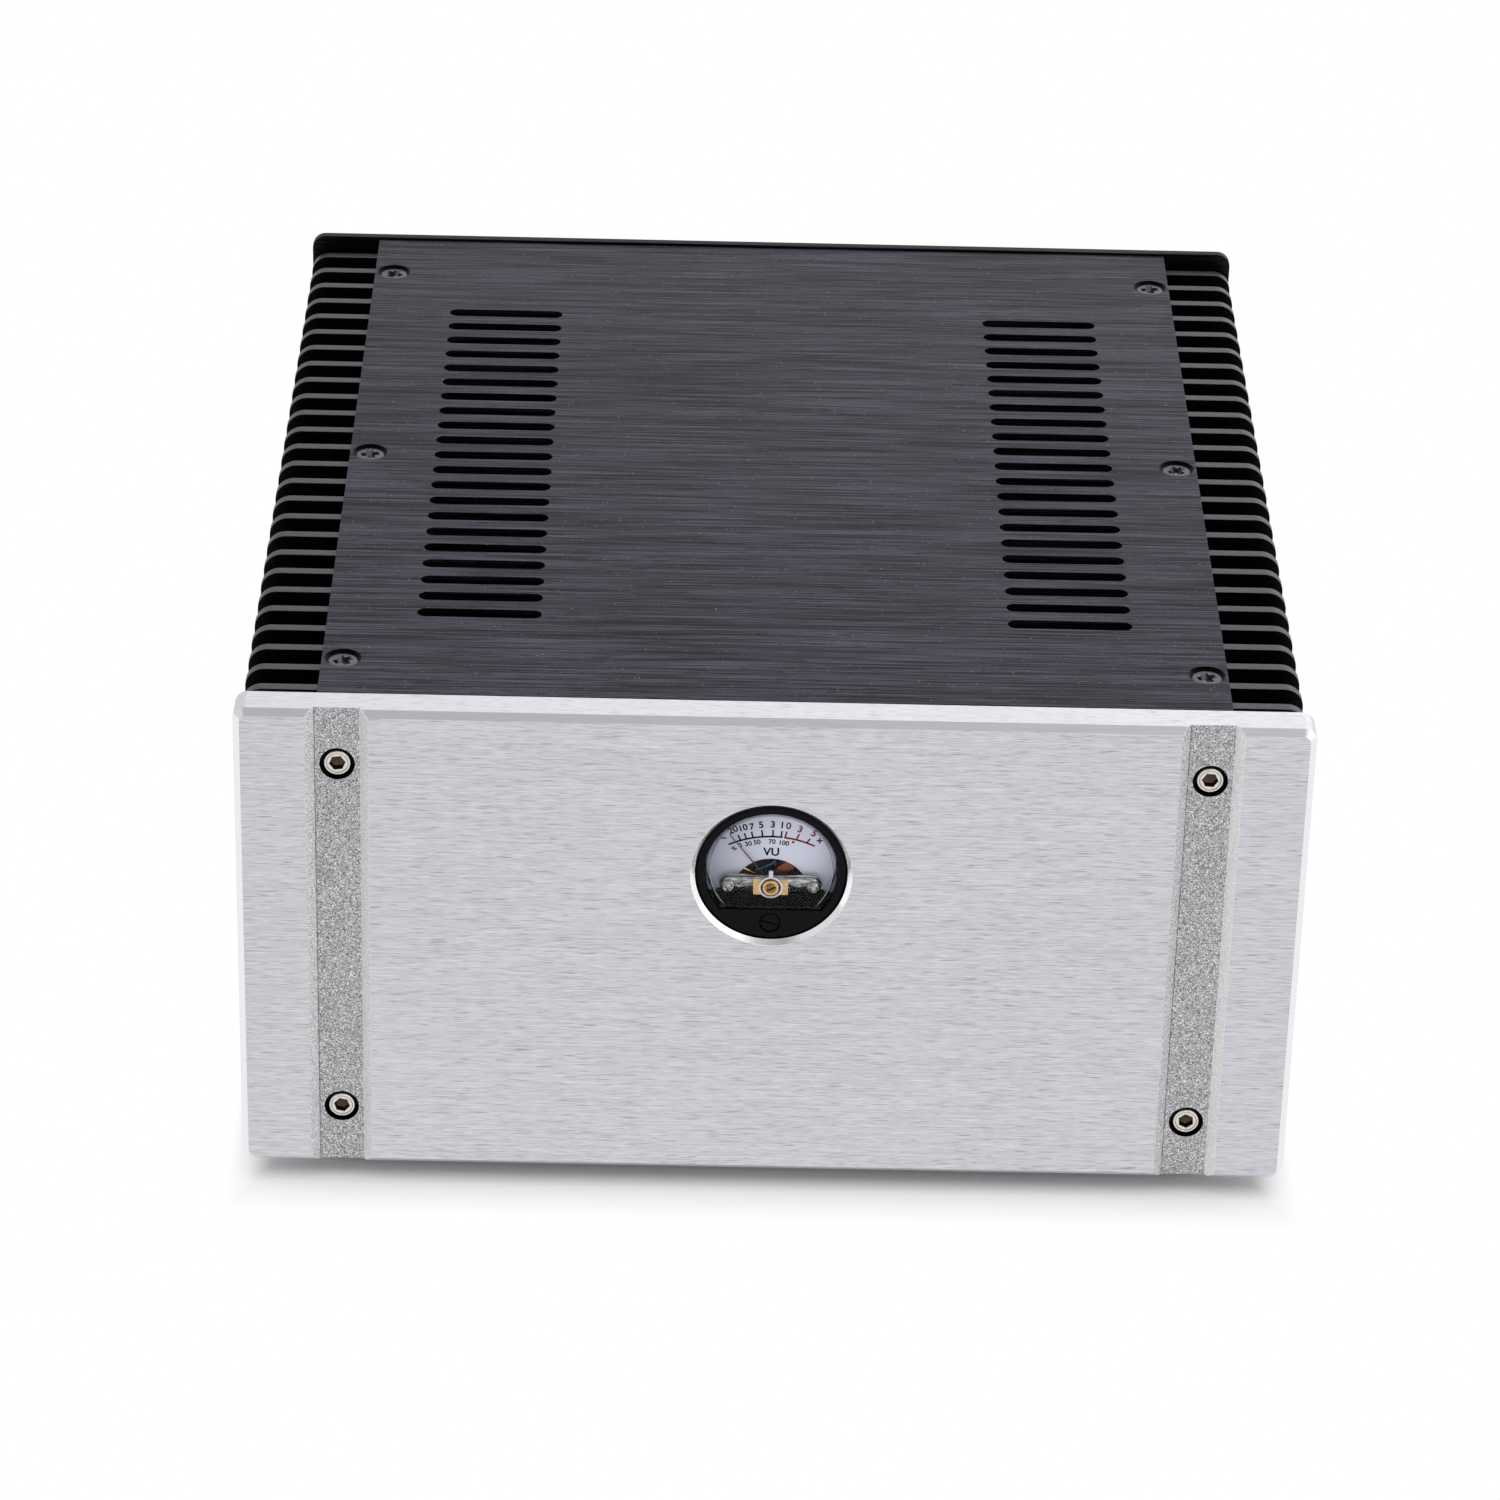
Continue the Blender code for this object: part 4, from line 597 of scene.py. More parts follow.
def makeSurfaces():
    print("finishes")
    return {
        "brushed": brushedAluminium(),
        # chamfers cut bright after brushing: paler and smoother than the face, with faint cutter lines
        "milled": variedMetal("milledAluminium", "e4e4e8", "fcfcff", 0.2, 0.32, (12, 0.15, 0.15), 0.02,
                              2.0, 0.15),
        "blasted": blasted("blastedAluminium", "5c5c5e", "dadadd"),
        # painted light: lighter copies of the blasted finish for the groove walls, the right walls
        # lightest, as the light falling on them
        "blastedPaintedLightWall": blasted("blastedAluminiumPaintedLightWall", "b0b0b2", "ffffff"),
        "blastedPaintedBrightLightWall": blasted("blastedAluminiumPaintedBrightLightWall", "dadadc", "ffffff"),
        # the meter hole's bright chamfer, cut by a turning tool: near white, with fine radial chatter
        "turned": variedMetal("turnedAluminium", "efeff0", "ffffff", 0.08, 0.2, (0.45, 6, 1.6), 0.06,
                              2.0, 0.3),
        "blackBrushed": blackBrushedAluminium("blackBrushedAluminium", coverBrush),
        "blackSheet": blackBrushedAluminium("blackAnodisedSheet", sheetBrush),
        "anodised": blackAnodisedExtrusion(),
        # nickel-plated steel: warm bright metal, a little tarnished
        "nickel": variedMetal("nickelPlatedSteel", "b9b2a8", "f6f3ef", 0.14, 0.32),
        # painted reflection: the turned step in a socket head, its colour darkened to stand in for the
        # plating mirroring the dark counterbore
        "nickelPaintedReflection": variedMetal("nickelPlatedPaintedReflection", "38332c", "c8c2b8", 0.12, 0.3, 1.6),
        # painted shade: the walls of a socket, painted dark oily brown as the shade inside it
        "socket": variedMetal("paintedShadeSocketSteel", "281d17", "6e5c50", 0.3, 0.5),
        # black oxide: dark, worn a little brighter in patches
        "blackened": variedMetal("blackOxideSteel", "1a1a1c", "3c3c40", 0.2, 0.4),
        # black zinc on the cover's screw heads: a shade paler than the plate
        "blackZinc": variedMetal("blackZincSteel", "48484c", "6e6e74", 0.28, 0.46),
        # painted shade: near black, put in recesses and countersinks as the shade in them
        "recess": variedMetal("paintedShadeRecess", "040405", "0e0e10", 0.4, 0.6),
        # zinc plating: pale grey with a cloudy spangle
        "zinc": variedMetal("zincPlatedSteel", "a9aaa6", "d6d6cf", 0.25, 0.45, 3),
        # gold plating over turned brass: warm yellow mirror
        "gold": variedMetal("goldPlatedBrass", "c99a4c", "f0cf86", 0.12, 0.28, (3, 0.3, 3)),
        # bare turned brass of the meter's saddle and boss
        "brass": variedMetal("turnedBrass", "a87838", "ecd09a", 0.14, 0.34, 0.5),
        "darkBrass": variedMetal("tarnishedBrass", "5c3f1c", "b08a50", 0.16, 0.36, 0.5),
        "chrome": chromePlate(),
        # a chromed screw head: mirror bright, with painted reflections: its colour in patches from near
        # black to bright
        "chromeScrew": variedMetal("chromedScrew", "121310", "d8dcd4", 0.05, 0.12, 0.6, 0.05),
        # painted highlight: a metal ring at the lens's inner wall, its colour in dark and bright patches,
        # standing in for the light that the lens's polished inner edge catches
        "lensPaintedHighlight": variedMetal("paintedHighlightLensRing", "3c4046", "dde0e4", 0.05, 0.2, 3),
        # rolled sheet aluminium: pale, with a soft grain along x
        "aluminium": variedMetal("rolledAluminium", "bcbcc0", "e4e4e8", 0.22, 0.38, (6, 0.4, 0.4)),
        # sintered iron of magnet and core: dark grey, slightly rough
        "iron": variedMetal("sinteredIron", "3c3a3a", "6c6866", 0.4, 0.55, 0.5, 0.05),
        "copper": copperWinding(),
        "rubber": moulding("footRubber", "161616", "1f1f1f", 0.75, 0.8, 0.08),
        "nylon": moulding("blackNylon", "141415", "1c1c1e", 0.42),
        "rocker": moulding("rockerPlastic", "101011", "161618", 0.25),
        "redCap": moulding("redCapPlastic", "8c0e12", "a81a1c", 0.22, shine=0.5),
        "blackCap": moulding("blackCapPlastic", "111112", "19191b", 0.22, shine=0.5),
        "whiteRing": moulding("whiteRingPlastic", "dcdcd6", "ebebe6", 0.35, shine=0.5),
        "redRing": moulding("redRingPlastic", "a41418", "bc2024", 0.3, shine=0.5),
        "meterBlack": moulding("meterBlackPlastic", "060608", "0c0c10", 0.3, 0.35, 0.02, 0.08),
        "epoxy": moulding("blackEpoxy", "19191a", "232324", 0.55),
        "sleeve": moulding("capacitorSleeve", "14161f", "1d2030", 0.28),
        "blueLead": moulding("blueLeadSleeve", "1f5f86", "2f84ae", 0.35),
        "blackLead": moulding("blackLeadSleeve", "161617", "202022", 0.4),
        "redLead": moulding("redLeadSleeve", "8e1417", "a91f20", 0.4),
        # the meter's moulded lens: clear through its face, with bright reflections at its curved wall
        "acrylic": seeThrough("clearAcrylic", "fdfdff", 5.0, (0.006, 0.9), (0.03, 0.03), 9, 1.0, 0.05),
        # the lens's rounded edge and wall: clear plastic that gathers light and shines
        "acrylicEdge": seeThrough("acrylicEdge", "e8eaee", 1.0, (0.04, 0.6), (0.08, 0.08), 5, 1.0, 0.1),
        # a fuse's soda glass tube: clear, with a faint dusty bloom
        "glass": seeThrough("fuseGlass", "e6ecea", 1.0, (0.08, 0.8), (0.03, 0.12), 2, 2.0, 0.0),
        "dial": dialPaper(),
        "blackInk": ink("blackInk", "030306", "0c0c10"),
        "redInk": ink("redInk", "6c0418", "88102a"),
        "greyInk": ink("greyInk", "484c5c", "5a5e6c"),
        "whiteInk": ink("whiteInk", "d6d6d2", "ececea"),
        "needle": needlePaint(),
        "board": circuitBoard(),
        "tape": woundTape(),
    }


surfaces = makeSurfaces()

# Front panel: thick plate with a chamfered face, two blasted grooves and the meter's hole
plate = {"corner": 4.0, "chamfer": 2.0, "grooveFloor": 13.33, "grooveRun": 2.73, "grooveDepth": 2.85,
         "boreRadius": 5.25, "boreDepth": 8.55, "meterClear": 0.3, "meterChamfer": 1.45, "ease": 0.14,
         "undercut": 0.22}


def grooveCutter(middle):
    half, run, depth = (plate[key] * mm for key in ("grooveFloor", "grooveRun", "grooveDepth"))
    half /= 2
    slope = run / depth
    cutter = block("groove", (middle - half, front - past, underside - past),
                   (middle + half, front + depth, topside + past))
    openMesh()
    for side in (-1, 1):
        pick("EDGE", lambda spot, way: spot.y < front and (spot.x - middle) * side > half / 2)
        bpy.ops.transform.translate(value=(side * (depth + past) * slope, 0, 0))
    closeMesh()
    coat(cutter, "blasted", "blastedPaintedLightWall", "blastedPaintedBrightLightWall")
    # painted light: each groove's left wall takes a lighter copy of the blasted finish, its right wall a
    # lighter one still
    giveFinish(cutter, 1, lambda spot, normal: normal.x < -0.5)
    giveFinish(cutter, 2, lambda spot, normal: normal.x > 0.5)
    return cutter


def undercut(middle):
    # the cutter's fine line at the foot of a groove's left wall
    left, wide = middle - plate["grooveFloor"] / 2 * mm, plate["undercut"] * mm
    line = block("undercut", (left - wide / 2, front + past / 2, underside - past),
                 (left + wide / 2, front + (plate["grooveDepth"] + plate["undercut"]) * mm, topside + past))
    coat(line, "blasted")
    return line


def makeFrontPlate():
    print("front panel")
    low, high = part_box("front_panel")
    piece = block("front_plate", low, high)
    coat(piece, "brushed")
    roundCorners(piece, "Y", plate["corner"] * mm)
    openMesh()
    pick("FACE", lambda spot, normal: normal.y < -0.9)
    bpy.ops.mesh.region_to_loop()
    bpy.ops.mesh.bevel(offset=plate["chamfer"] * mm, segments=1, affect="EDGES")
    closeMesh()
    coat(piece, "milled")
    giveFinish(piece, 1, lambda spot, normal: -0.9 < normal.y < -0.3)
    for screw in ("front_screw_1", "front_screw_3"):
        middle = middleOf(screw).x
        carve(piece, grooveCutter(middle), undercut(middle))
    for number in range(1, 5):
        screw = middleOf(f"front_screw_{number}")
        bore = rod("bore", plate["boreRadius"], -past / mm, plate["boreDepth"], (screw.x, front, screw.z))
        # painted shade: the counterbore's aluminium walls take the dark black oxide finish
        coat(bore, "blackened")
        carve(piece, bore)
    radius = (highOf("meter_bezel").x - lowOf("meter_bezel").x) / 2 / mm + plate["meterClear"]
    chamfer = plate["meterChamfer"]
    profile = [(0, -2), (radius + chamfer + 2, -2), (radius, chamfer), (radius, 14), (0, 14)]
    hole = lathe("hole", profile, (meterMiddle.x, front, meterMiddle.z), sides=128)
    coat(hole, "turned")
    carve(piece, hole)
    easeEdges(piece, plate["ease"])
    fit(piece, None, "chassis", "brushed_silver", "front_panel")


makeFrontPlate()

# Top cover, bottom plate and rear panel
cover = {"slotMiddle": 89.8, "slotLength": 37.9, "slotWidth": 5.3, "slotPitch": 10.86, "slotMargin": 51.9,
         "slotCount": 21, "sinkRadius": 5.6, "sinkDepth": 2.9, "ease": 0.16}


def makeTopCover():
    print("top cover")
    low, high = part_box("top_cover")
    piece = block("cover_plate", low, high)
    coat(piece, "blackBrushed")
    half = Vector((cover["slotLength"] / 2, cover["slotWidth"] / 2, 0)) * mm
    first = Vector((-cover["slotMiddle"] * mm, low.y + cover["slotMargin"] * mm, 0))
    slotLow, slotHigh = first - half, first + half
    slotLow.z, slotHigh.z = low.z - past, high.z + past
    slot = block("slot", slotLow, slotHigh)
    roundCorners(slot, "Z", cover["slotWidth"] / 2 * mm * 0.999, 10)
    slots = [slot]
    for column in range(2):
        for row in range(cover["slotCount"]):
            if column or row:
                step = (column * 2 * cover["slotMiddle"] * mm, row * cover["slotPitch"] * mm, 0)
                slots.append(copyTo(slot, "slot", step))
    carve(piece, joinUp("slots", *slots))
    for number in range(1, 7):
        screw = middleOf(f"cover_screw_{number}")
        wide, deep = cover["sinkRadius"], cover["sinkDepth"]
        profile = [(0, -9), (wide - deep, -9), (wide - deep, -deep), (wide + 2, 2), (0, 2)]
        countersink = lathe("countersink", profile, (screw.x, screw.y, high.z), "Z", 48)
        # painted shade on the countersink's walls
        coat(countersink, "recess")
        carve(piece, countersink)
    easeEdges(piece, cover["ease"])
    fit(piece, None, "chassis", "brushed_black", "top_cover")


makeTopCover()

back = {"corner": 4.5, "inletHalf": (13.75, 30, 23.5), "jackHole": 4.9, "postHole": 4.3, "ease": 0.18}


def makeRearPanel():
    print("rear panel")
    low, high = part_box("rear_panel")
    piece = block("rear_plate", low, high)
    roundCorners(piece, "Y", back["corner"] * mm)
    middle, half = middleOf("mains_inlet"), Vector(back["inletHalf"]) * mm
    carve(piece, block("opening", middle - half, middle + half))
    holes = [(f"input_jack_{side}", back["jackHole"]) for side in ("left", "right")]
    holes += [(f"post_base_{number}", back["postHole"]) for number in range(1, 5)]
    for node, radius in holes:
        spot = middleOf(node)
        carve(piece, rod("opening", radius, -9, 9, (spot.x, rearFace, spot.z)))
    easeEdges(piece, back["ease"])
    fit(piece, "blackSheet", "chassis", "brushed_black", "rear_panel")


makeRearPanel()
keepNode("bottom_plate", "base_plate", 0.2, "blackSheet", "chassis", "brushed_black")

# Heat sinks: a base with a row of upright fins, their outer corners rounded
sink = {"base": 12.0, "pitch": 12.5, "thick": 3.6, "corner": 6.0, "count": 26, "shift": 1.3, "ease": 0.3}


def makeHeatSink(name, node, side):
    print("heat sink", node)
    low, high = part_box(node)
    inner = low.x if side > 0 else high.x
    tip = high.x if side > 0 else low.x
    outer = inner + side * sink["base"] * mm
    base = block(name, (min(inner, outer), low.y, low.z), (max(inner, outer), high.y, high.z))
    thick, pitch = sink["thick"] * mm, sink["pitch"] * mm
    margin = (high.y - low.y - (sink["count"] - 1) * pitch - thick) / 2 + sink["shift"] * mm
    root = outer - side * mm  # the fin's foot sits inside the base
    near = low.y + margin
    fin = block("fin", (min(root, tip), near, low.z), (max(root, tip), near + thick, high.z))
    roundCorners(fin, "Y", sink["corner"] * mm, 9, lambda middle: abs(middle.x - tip) < mm)
    fins = [fin]
    for number in range(1, sink["count"]):
        fins.append(copyTo(fin, "fin", (0, number * pitch, 0)))
    merge(base, joinUp("fins", *fins))
    easeEdges(base, sink["ease"])
    # painted light on the fins' upward faces, from the anodised finish
    fit(base, "anodised", "chassis", "black_anodised", node)


makeHeatSink("sink_left", "heat_sink_left", -1)
makeHeatSink("sink_right", "heat_sink_right", 1)

# Screws
screws = {"headRadius": 4.25, "faceRadius": 3.8, "headChamfer": 0.6, "headHeight": 5.0,
          "socketRadius": 2.45,
          "socketDepth": 2.5, "stepRadius": 3.05, "stepDepth": 0.18, "shank": 2.1, "sunkRadius": 4.6,
          "crossLength": 8.0, "crossWidth": 2.6, "crossDepth": 1.8}


def makeSocketScrew(name, place):
    # place is the middle of the head's face; the screw runs back along y
    wide, face, tall = screws["headRadius"], screws["faceRadius"], screws["headHeight"]
    step, sunk = screws["stepRadius"], screws["stepDepth"]
    profile = [(0, sunk), (step, sunk), (step + 0.3, 0), (face, 0), (wide, screws["headChamfer"]),
               (wide, tall),
               (screws["shank"], tall), (screws["shank"], tall + 10), (0, tall + 10)]
    piece = lathe(name, profile, place, sides=72)
    coat(piece, "nickel")
    wide, deep = screws["socketRadius"], screws["socketDepth"]
    socket = lathe("socket", [(0, -1), (wide, -1), (wide, deep), (0, deep + 0.9)], place, sides=6)
    # painted shade: the socket's walls take the dark socket finish
    coat(socket, "socket")
    carve(piece, socket)
    coat(piece, "nickelPaintedReflection")
    # painted reflection on the step's cone, from the darkened nickel copy
    giveFinish(piece, 2, lambda spot, normal: -0.95 < normal.y < -0.3 and
               step * mm < math.hypot(spot.x - place.x, spot.z - place.z) < (step + 0.3) * mm)
    return easeEdges(piece, 0.12)


def makeFrontScrews():
    print("front screws")
    node = "front_screw_2"
    first = middleOf(node)
    first.y = lowOf(node).y
    master = makeSocketScrew("master", first)
    for number, turn in enumerate((12, -8, 25, 4), 1):
        node = f"front_screw_{number}"
        place = middleOf(node)
        place.y = lowOf(node).y
        piece = copyTo(master, f"socket_screw_{number}", place - first)
        turnAbout(piece, turn, "Y", place)
        fit(piece, None, "chassis", "nickel_steel", node)
    discard(master)


def crossCutter(place, way, share=1.0, flip=None):
    # two tapered bars across each other, for a cross recess that opens along +way; half a turn about
    # the axis flip opens it along -way
    half, thin, deep = (screws[key] * mm for key in ("crossLength", "crossWidth", "crossDepth"))
    half, thin = half / 2, thin / 2
    bars = []
    for wide, tall in ((half, thin), (thin, half)):
        bar = block("bar", (-wide, -tall, -deep), (wide, tall, mm))
        openMesh()
        pick("FACE", lambda spot, normal: normal.z < -0.9)
        bpy.ops.transform.resize(value=(0.45 if wide > tall else 0.8, 0.8 if wide > tall else 0.45, 1),
                                 center_override=(0, 0, -deep))
        closeMesh()
        bars.append(bar)
    cross = merge(*bars)
    # painted shade in the cross recess
    coat(cross, "recess")
    if way == "Y":
        turnAbout(cross, -90, "X", (0, 0, 0))
    if flip:
        turnAbout(cross, 180, flip, (0, 0, 0))
    choose(cross)
    cross.scale = (share, share, share)
    cross.location = place
    bakePlace()
    return cross


def makeCoverScrews():
    print("cover screws")
    wide = screws["sunkRadius"]
    node = "cover_screw_1"
    first = middleOf(node)
    first.z = highOf(node).z
    profile = [(0, -0.3), (wide - 0.5, -0.35), (wide, -0.6), (wide - 2.4, -2.9), (screws["shank"], -3.0),
               (screws["shank"], -9), (0, -9)]
    master = lathe("master", profile, first, "Z", 48)
    coat(master, "blackZinc")
    carve(master, crossCutter(first, "Z"))
    easeEdges(master, 0.12)
    for number, turn in enumerate((30, 12, 62, 20, 38, 8), 1):
        node = f"cover_screw_{number}"
        place = middleOf(node)
        place.z = highOf(node).z
        piece = copyTo(master, f"cross_screw_{number}", place - first)
        turnAbout(piece, turn, "Z", place)
        fit(piece, None, "chassis", "black_steel", node)
    discard(master)


makeFrontScrews()
makeCoverScrews()


def makeFeet():
    print("feet")
    low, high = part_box("foot_1")
    first = Vector(((low.x + high.x) / 2, (low.y + high.y) / 2, low.z))
    top, tall = (high.x - low.x) / 2 / mm, (high.z - low.z) / mm
    profile = [(6, 3), (6, 0.5), (6.5, 0), (top - 2.1, 0), (top - 1.5, 0.5), (top - 0.1, tall - 0.6),
               (top - 0.4, tall), (0, tall), (0, 3), (6, 3)]
    pad = easeEdges(lathe("pad", profile, first, "Z", 64), 0.25)
    screw = lathe("screw", [(0, 1.6), (2.4, 1.7), (2.9, 2.2), (2.9, 2.95), (0, 2.95)], first, "Z", 32)
    coat(screw, "zinc")
    cross = crossCutter(first + Vector((0, 0, 1.7 * mm)), "Z", 0.6, "X")
    easeEdges(carve(screw, cross), 0.08)
    for number in range(1, 5):
        node = f"foot_{number}"
        step = middleOf(node) - middleOf("foot_1")
        fit(copyTo(pad, f"rubber_foot_{number}", step), "rubber", "chassis", "foot_rubber", node)
        fit(copyTo(screw, f"foot_screw_{number}", step), None, "chassis", "zinc_steel")
    discard(pad, screw)


makeFeet()


# Level meter; depths run back from its rim's front plane, in mm
def inMeter(across, depth, up):
    return meterMiddle + Vector((across, depth, up)) * mm


def atPivot(across, depth, up):
    return inMeter(across, depth, up - pivotDrop)


pivot = atPivot(0, 0, 0)
meter = {"rim": 22.5, "rimInner": 20.1, "rimDepth": 3.0, "maskDrop": 12.8, "maskThick": 2.0,
         "lens": 19.8, "lensInner": 18.6, "dial": 19.5, "dialDepth": 7.5, "dialCut": 9.6, "dialThick": 0.8,
         "arch": 11.4, "archDrop": 10.66, "zeroDrop": 17.2}


def makeMeterCase():
    print("meter case")
    wide, inner, deep = meter["rim"], meter["rimInner"], meter["rimDepth"]
    profile = [(wide, deep), (wide, 0.4), (wide - 0.4, 0), (inner + 0.35, 0), (inner, 0.35), (inner, deep),
               (wide, deep)]
    rim = lathe("meter_rim", profile, meterMiddle, sides=128)
    middle = (wide + inner) / 2
    mask = rod("mask", middle, 0.06, meter["maskThick"], meterMiddle, sides=96)
    trim(mask, inMeter(0, 0, -meter["maskDrop"]), (0, 0, 1))
    merge(rim, mask)
    zero = inMeter(0, 0, -meter["zeroDrop"])
    carve(rim,
          lathe("seat", [(0, -1), (3.3, -1), (3.3, 1.2), (1.5, 1.2), (1.5, 3), (0, 3)], zero, sides=64))
    easeEdges(rim, 0.12)
    fit(rim, "meterBlack", "chassis", "meter_black", "meter_bezel")
    keepNode("meter_housing", "meter_can", 0.15, "meterBlack", "chassis", "meter_black")
    keepNode("meter_magnet", "magnet_core", 0.12, "iron", "chassis", "magnet_iron")


def makeLens():
    wide, inner = meter["lens"], meter["lensInner"]
    profile = [(0, 0.5), (wide - 0.4, 0.5), (wide, 0.9), (wide, 7.2), (inner, 7.2), (inner, 1.9),
               (inner - 0.2, 1.7), (0, 1.7)]
    lens = lathe("meter_lens", profile, meterMiddle, sides=128)
    trim(lens, inMeter(0, 0, -12.5), (0, 0, -1))
    easeEdges(lens, 0.1)
    coat(lens, "acrylic", "acrylicEdge")
    giveFinish(lens, 1, lambda spot, normal: abs(normal.y) < 0.95)
    fit(lens, None, "chassis", "clear_acrylic", "meter_window")
    # painted highlight: a thin metal ring at the lens's inner wall
    edge = inner - 0.3
    lip = lathe("lens_highlight_ring", [(edge, 2.1), (edge + 0.25, 2.1), (edge + 0.25, 2.6), (edge, 2.6), (edge, 2.1)],
                meterMiddle, sides=128)
    trim(lip, inMeter(0, 0, 3), (0, 0, 1))
    trim(lip, inMeter(0, 0, -12.3), (0, 0, -1))
    fit(lip, "lensPaintedHighlight", "chassis", "clear_acrylic")


def makeDial():
    print("meter dial")
    deep = meter["dialDepth"]
    dial = rod("dial_plate", meter["dial"], deep, deep + meter["dialThick"], meterMiddle, sides=128)
    trim(dial, inMeter(0, 0, -meter["dialCut"]), (0, 0, -1))
    centre = inMeter(0, 0, -meter["archDrop"])
    carve(dial, rod("arch", meter["arch"], deep - 2, deep + 3, centre, sides=128))
    easeEdges(dial, 0.08)
    # painted shade on the dial, from its finish
    fit(dial, "dial", "chassis", "dial_face", "meter_dial")


# Print on the dial: across, up and tilt of each mark, in mm and degrees
scale = {"radius": 28.8, "top": 8.4, "lineWidth": 0.6, "tickWidth": 0.5, "ink": 0.03, "end": 26.6,
         "blackEnd": 6.4, "redStart": 7.4, "letter": 1.55}
ticks = {"blackInk": [(-9.42, 7.0, -22.4, 1.9), (-7.59, 7.3, -18.2, 2.2), (-5.63, 7.8, -13.6, 2.2),
                      (-2.77, 8.1, -7.1, 2.45), (0.32, 8.3, -0.8, 2.4), (2.8, 8.2, 4.4, 2.2)],
         "redInk": [(3.92, 8.0, 13, 2.3), (7.3, 7.2, 20.6, 2.4), (10.35, 6.2, 33, 2.1),
                    (14.35, 6.35, 0, 1.9),
                    (13.4, 7.3, 90, 1.9), (6.4, 6.25, 0, 0.75, 0.75)],
         "greyInk": [(-15.45, 7.6, 90, 1.9)]}
words = {"blackInk": [("20", -11.7, 10.4, -27, 2.0), ("10", -8.75, 11.15, -18, 1.9),
                      ("7", -6.1, 11.65, -14, 1.9),
                      ("5", -3.3, 12.3, -7, 2.0), ("3", 0.2, 12.5, 0, 2.0), ("1", 3.0, 12.3, 5, 2.0),
                      ("0", -9.4, 5.1, -22, 1.4), ("30", -7.0, 5.7, -14, 1.4), ("50", -4.4, 6.3, -9, 1.4),
                      ("70", 0.1, 6.6, 0, 1.4), ("100", 3.6, 6.2, 7, 1.4), ("VU", 0, 3.0, 0, 2.4),
                      ("%", -11.2, 4.0, -40, 1.3)],
         "redInk": [("0", 4.9, 12.1, 8, 2.0), ("3", 8.4, 11.0, 17, 2.0), ("5", 12.6, 9.7, 28, 2.0)],
         "greyInk": []}


def arcLine(name, start, end):
    # a thin slice of the line spun along the scale's arc, clockwise angles from straight up
    radius = scale["radius"]
    centre = inMeter(0, meter["dialDepth"] - scale["ink"] / 2, scale["top"] - radius)
    top = centre + Vector((0, 0, radius * mm))
    plain()
    bpy.ops.mesh.primitive_plane_add(size=mm, location=top, rotation=(0, math.radians(90), 0))
    piece = settle(name)
    openMesh()
    selectAll()
    bpy.ops.transform.resize(value=(1, scale["ink"], scale["lineWidth"]), center_override=top)
    closeMesh()
    turnAbout(piece, start, "Y", centre)
    openMesh()
    selectAll()
    bpy.ops.mesh.spin(steps=40, angle=math.radians(start - end), center=centre, axis=(0, 1, 0))
    selectAll()
    bpy.ops.mesh.normals_make_consistent(inside=False)
    closeMesh()
    return piece


def tickMark(across, up, tilt, tall, wide=None):
    foot = inMeter(across, meter["dialDepth"], up)
    half = (wide or scale["tickWidth"]) / 2 * mm
    bar = block("tick", foot + Vector((-half, -scale["ink"] * mm, 0)), foot + Vector((half, 0, tall * mm)))
    return turnAbout(bar, tilt, "Y", foot)


def dialWord(text, across, up, tilt, tall):
    plain()
    bpy.ops.object.text_add()
    word = bpy.context.object
    word.data.body = text
    word.data.align_x = "CENTER"
    word.data.align_y = "CENTER"
    word.data.size = tall * scale["letter"] * mm
    word.data.extrude = scale["ink"] / 2 * mm
    word.data.offset = 0.042 * tall * mm
    bpy.ops.object.convert(target="MESH")
    word = bpy.context.object
    word.rotation_euler = (math.radians(90), 0, 0)
    word.location = inMeter(across, meter["dialDepth"] - scale["ink"] / 2, up)
    bakePlace()
    return turnAbout(word, tilt, "Y", inMeter(across, 0, up))


def makePrint():
    print("dial print")
    for tone, spots in words.items():
        marks = [dialWord(*spot) for spot in spots]
        marks += [tickMark(*spot) for spot in ticks[tone]]
        if tone == "blackInk":
            marks.append(arcLine("arc", -scale["end"], scale["blackEnd"]))
        if tone == "redInk":
            marks.append(arcLine("arc", scale["redStart"], scale["end"]))
        fit(joinUp("scale_" + tone, *marks), tone, "chassis", "dial_face")


makeMeterCase()
makeLens()
makeDial()
makePrint()

# What moves and shows in the meter's window
works = {"barLength": 30.8, "barTall": 6.2, "barFront": 4.2, "barThick": 1.95, "barRound": 1.75,
         "screwX": 12.8,
         "pointer": 20.6, "pointerRest": -37.7, "coilRest": 50, "weightRest": -62}


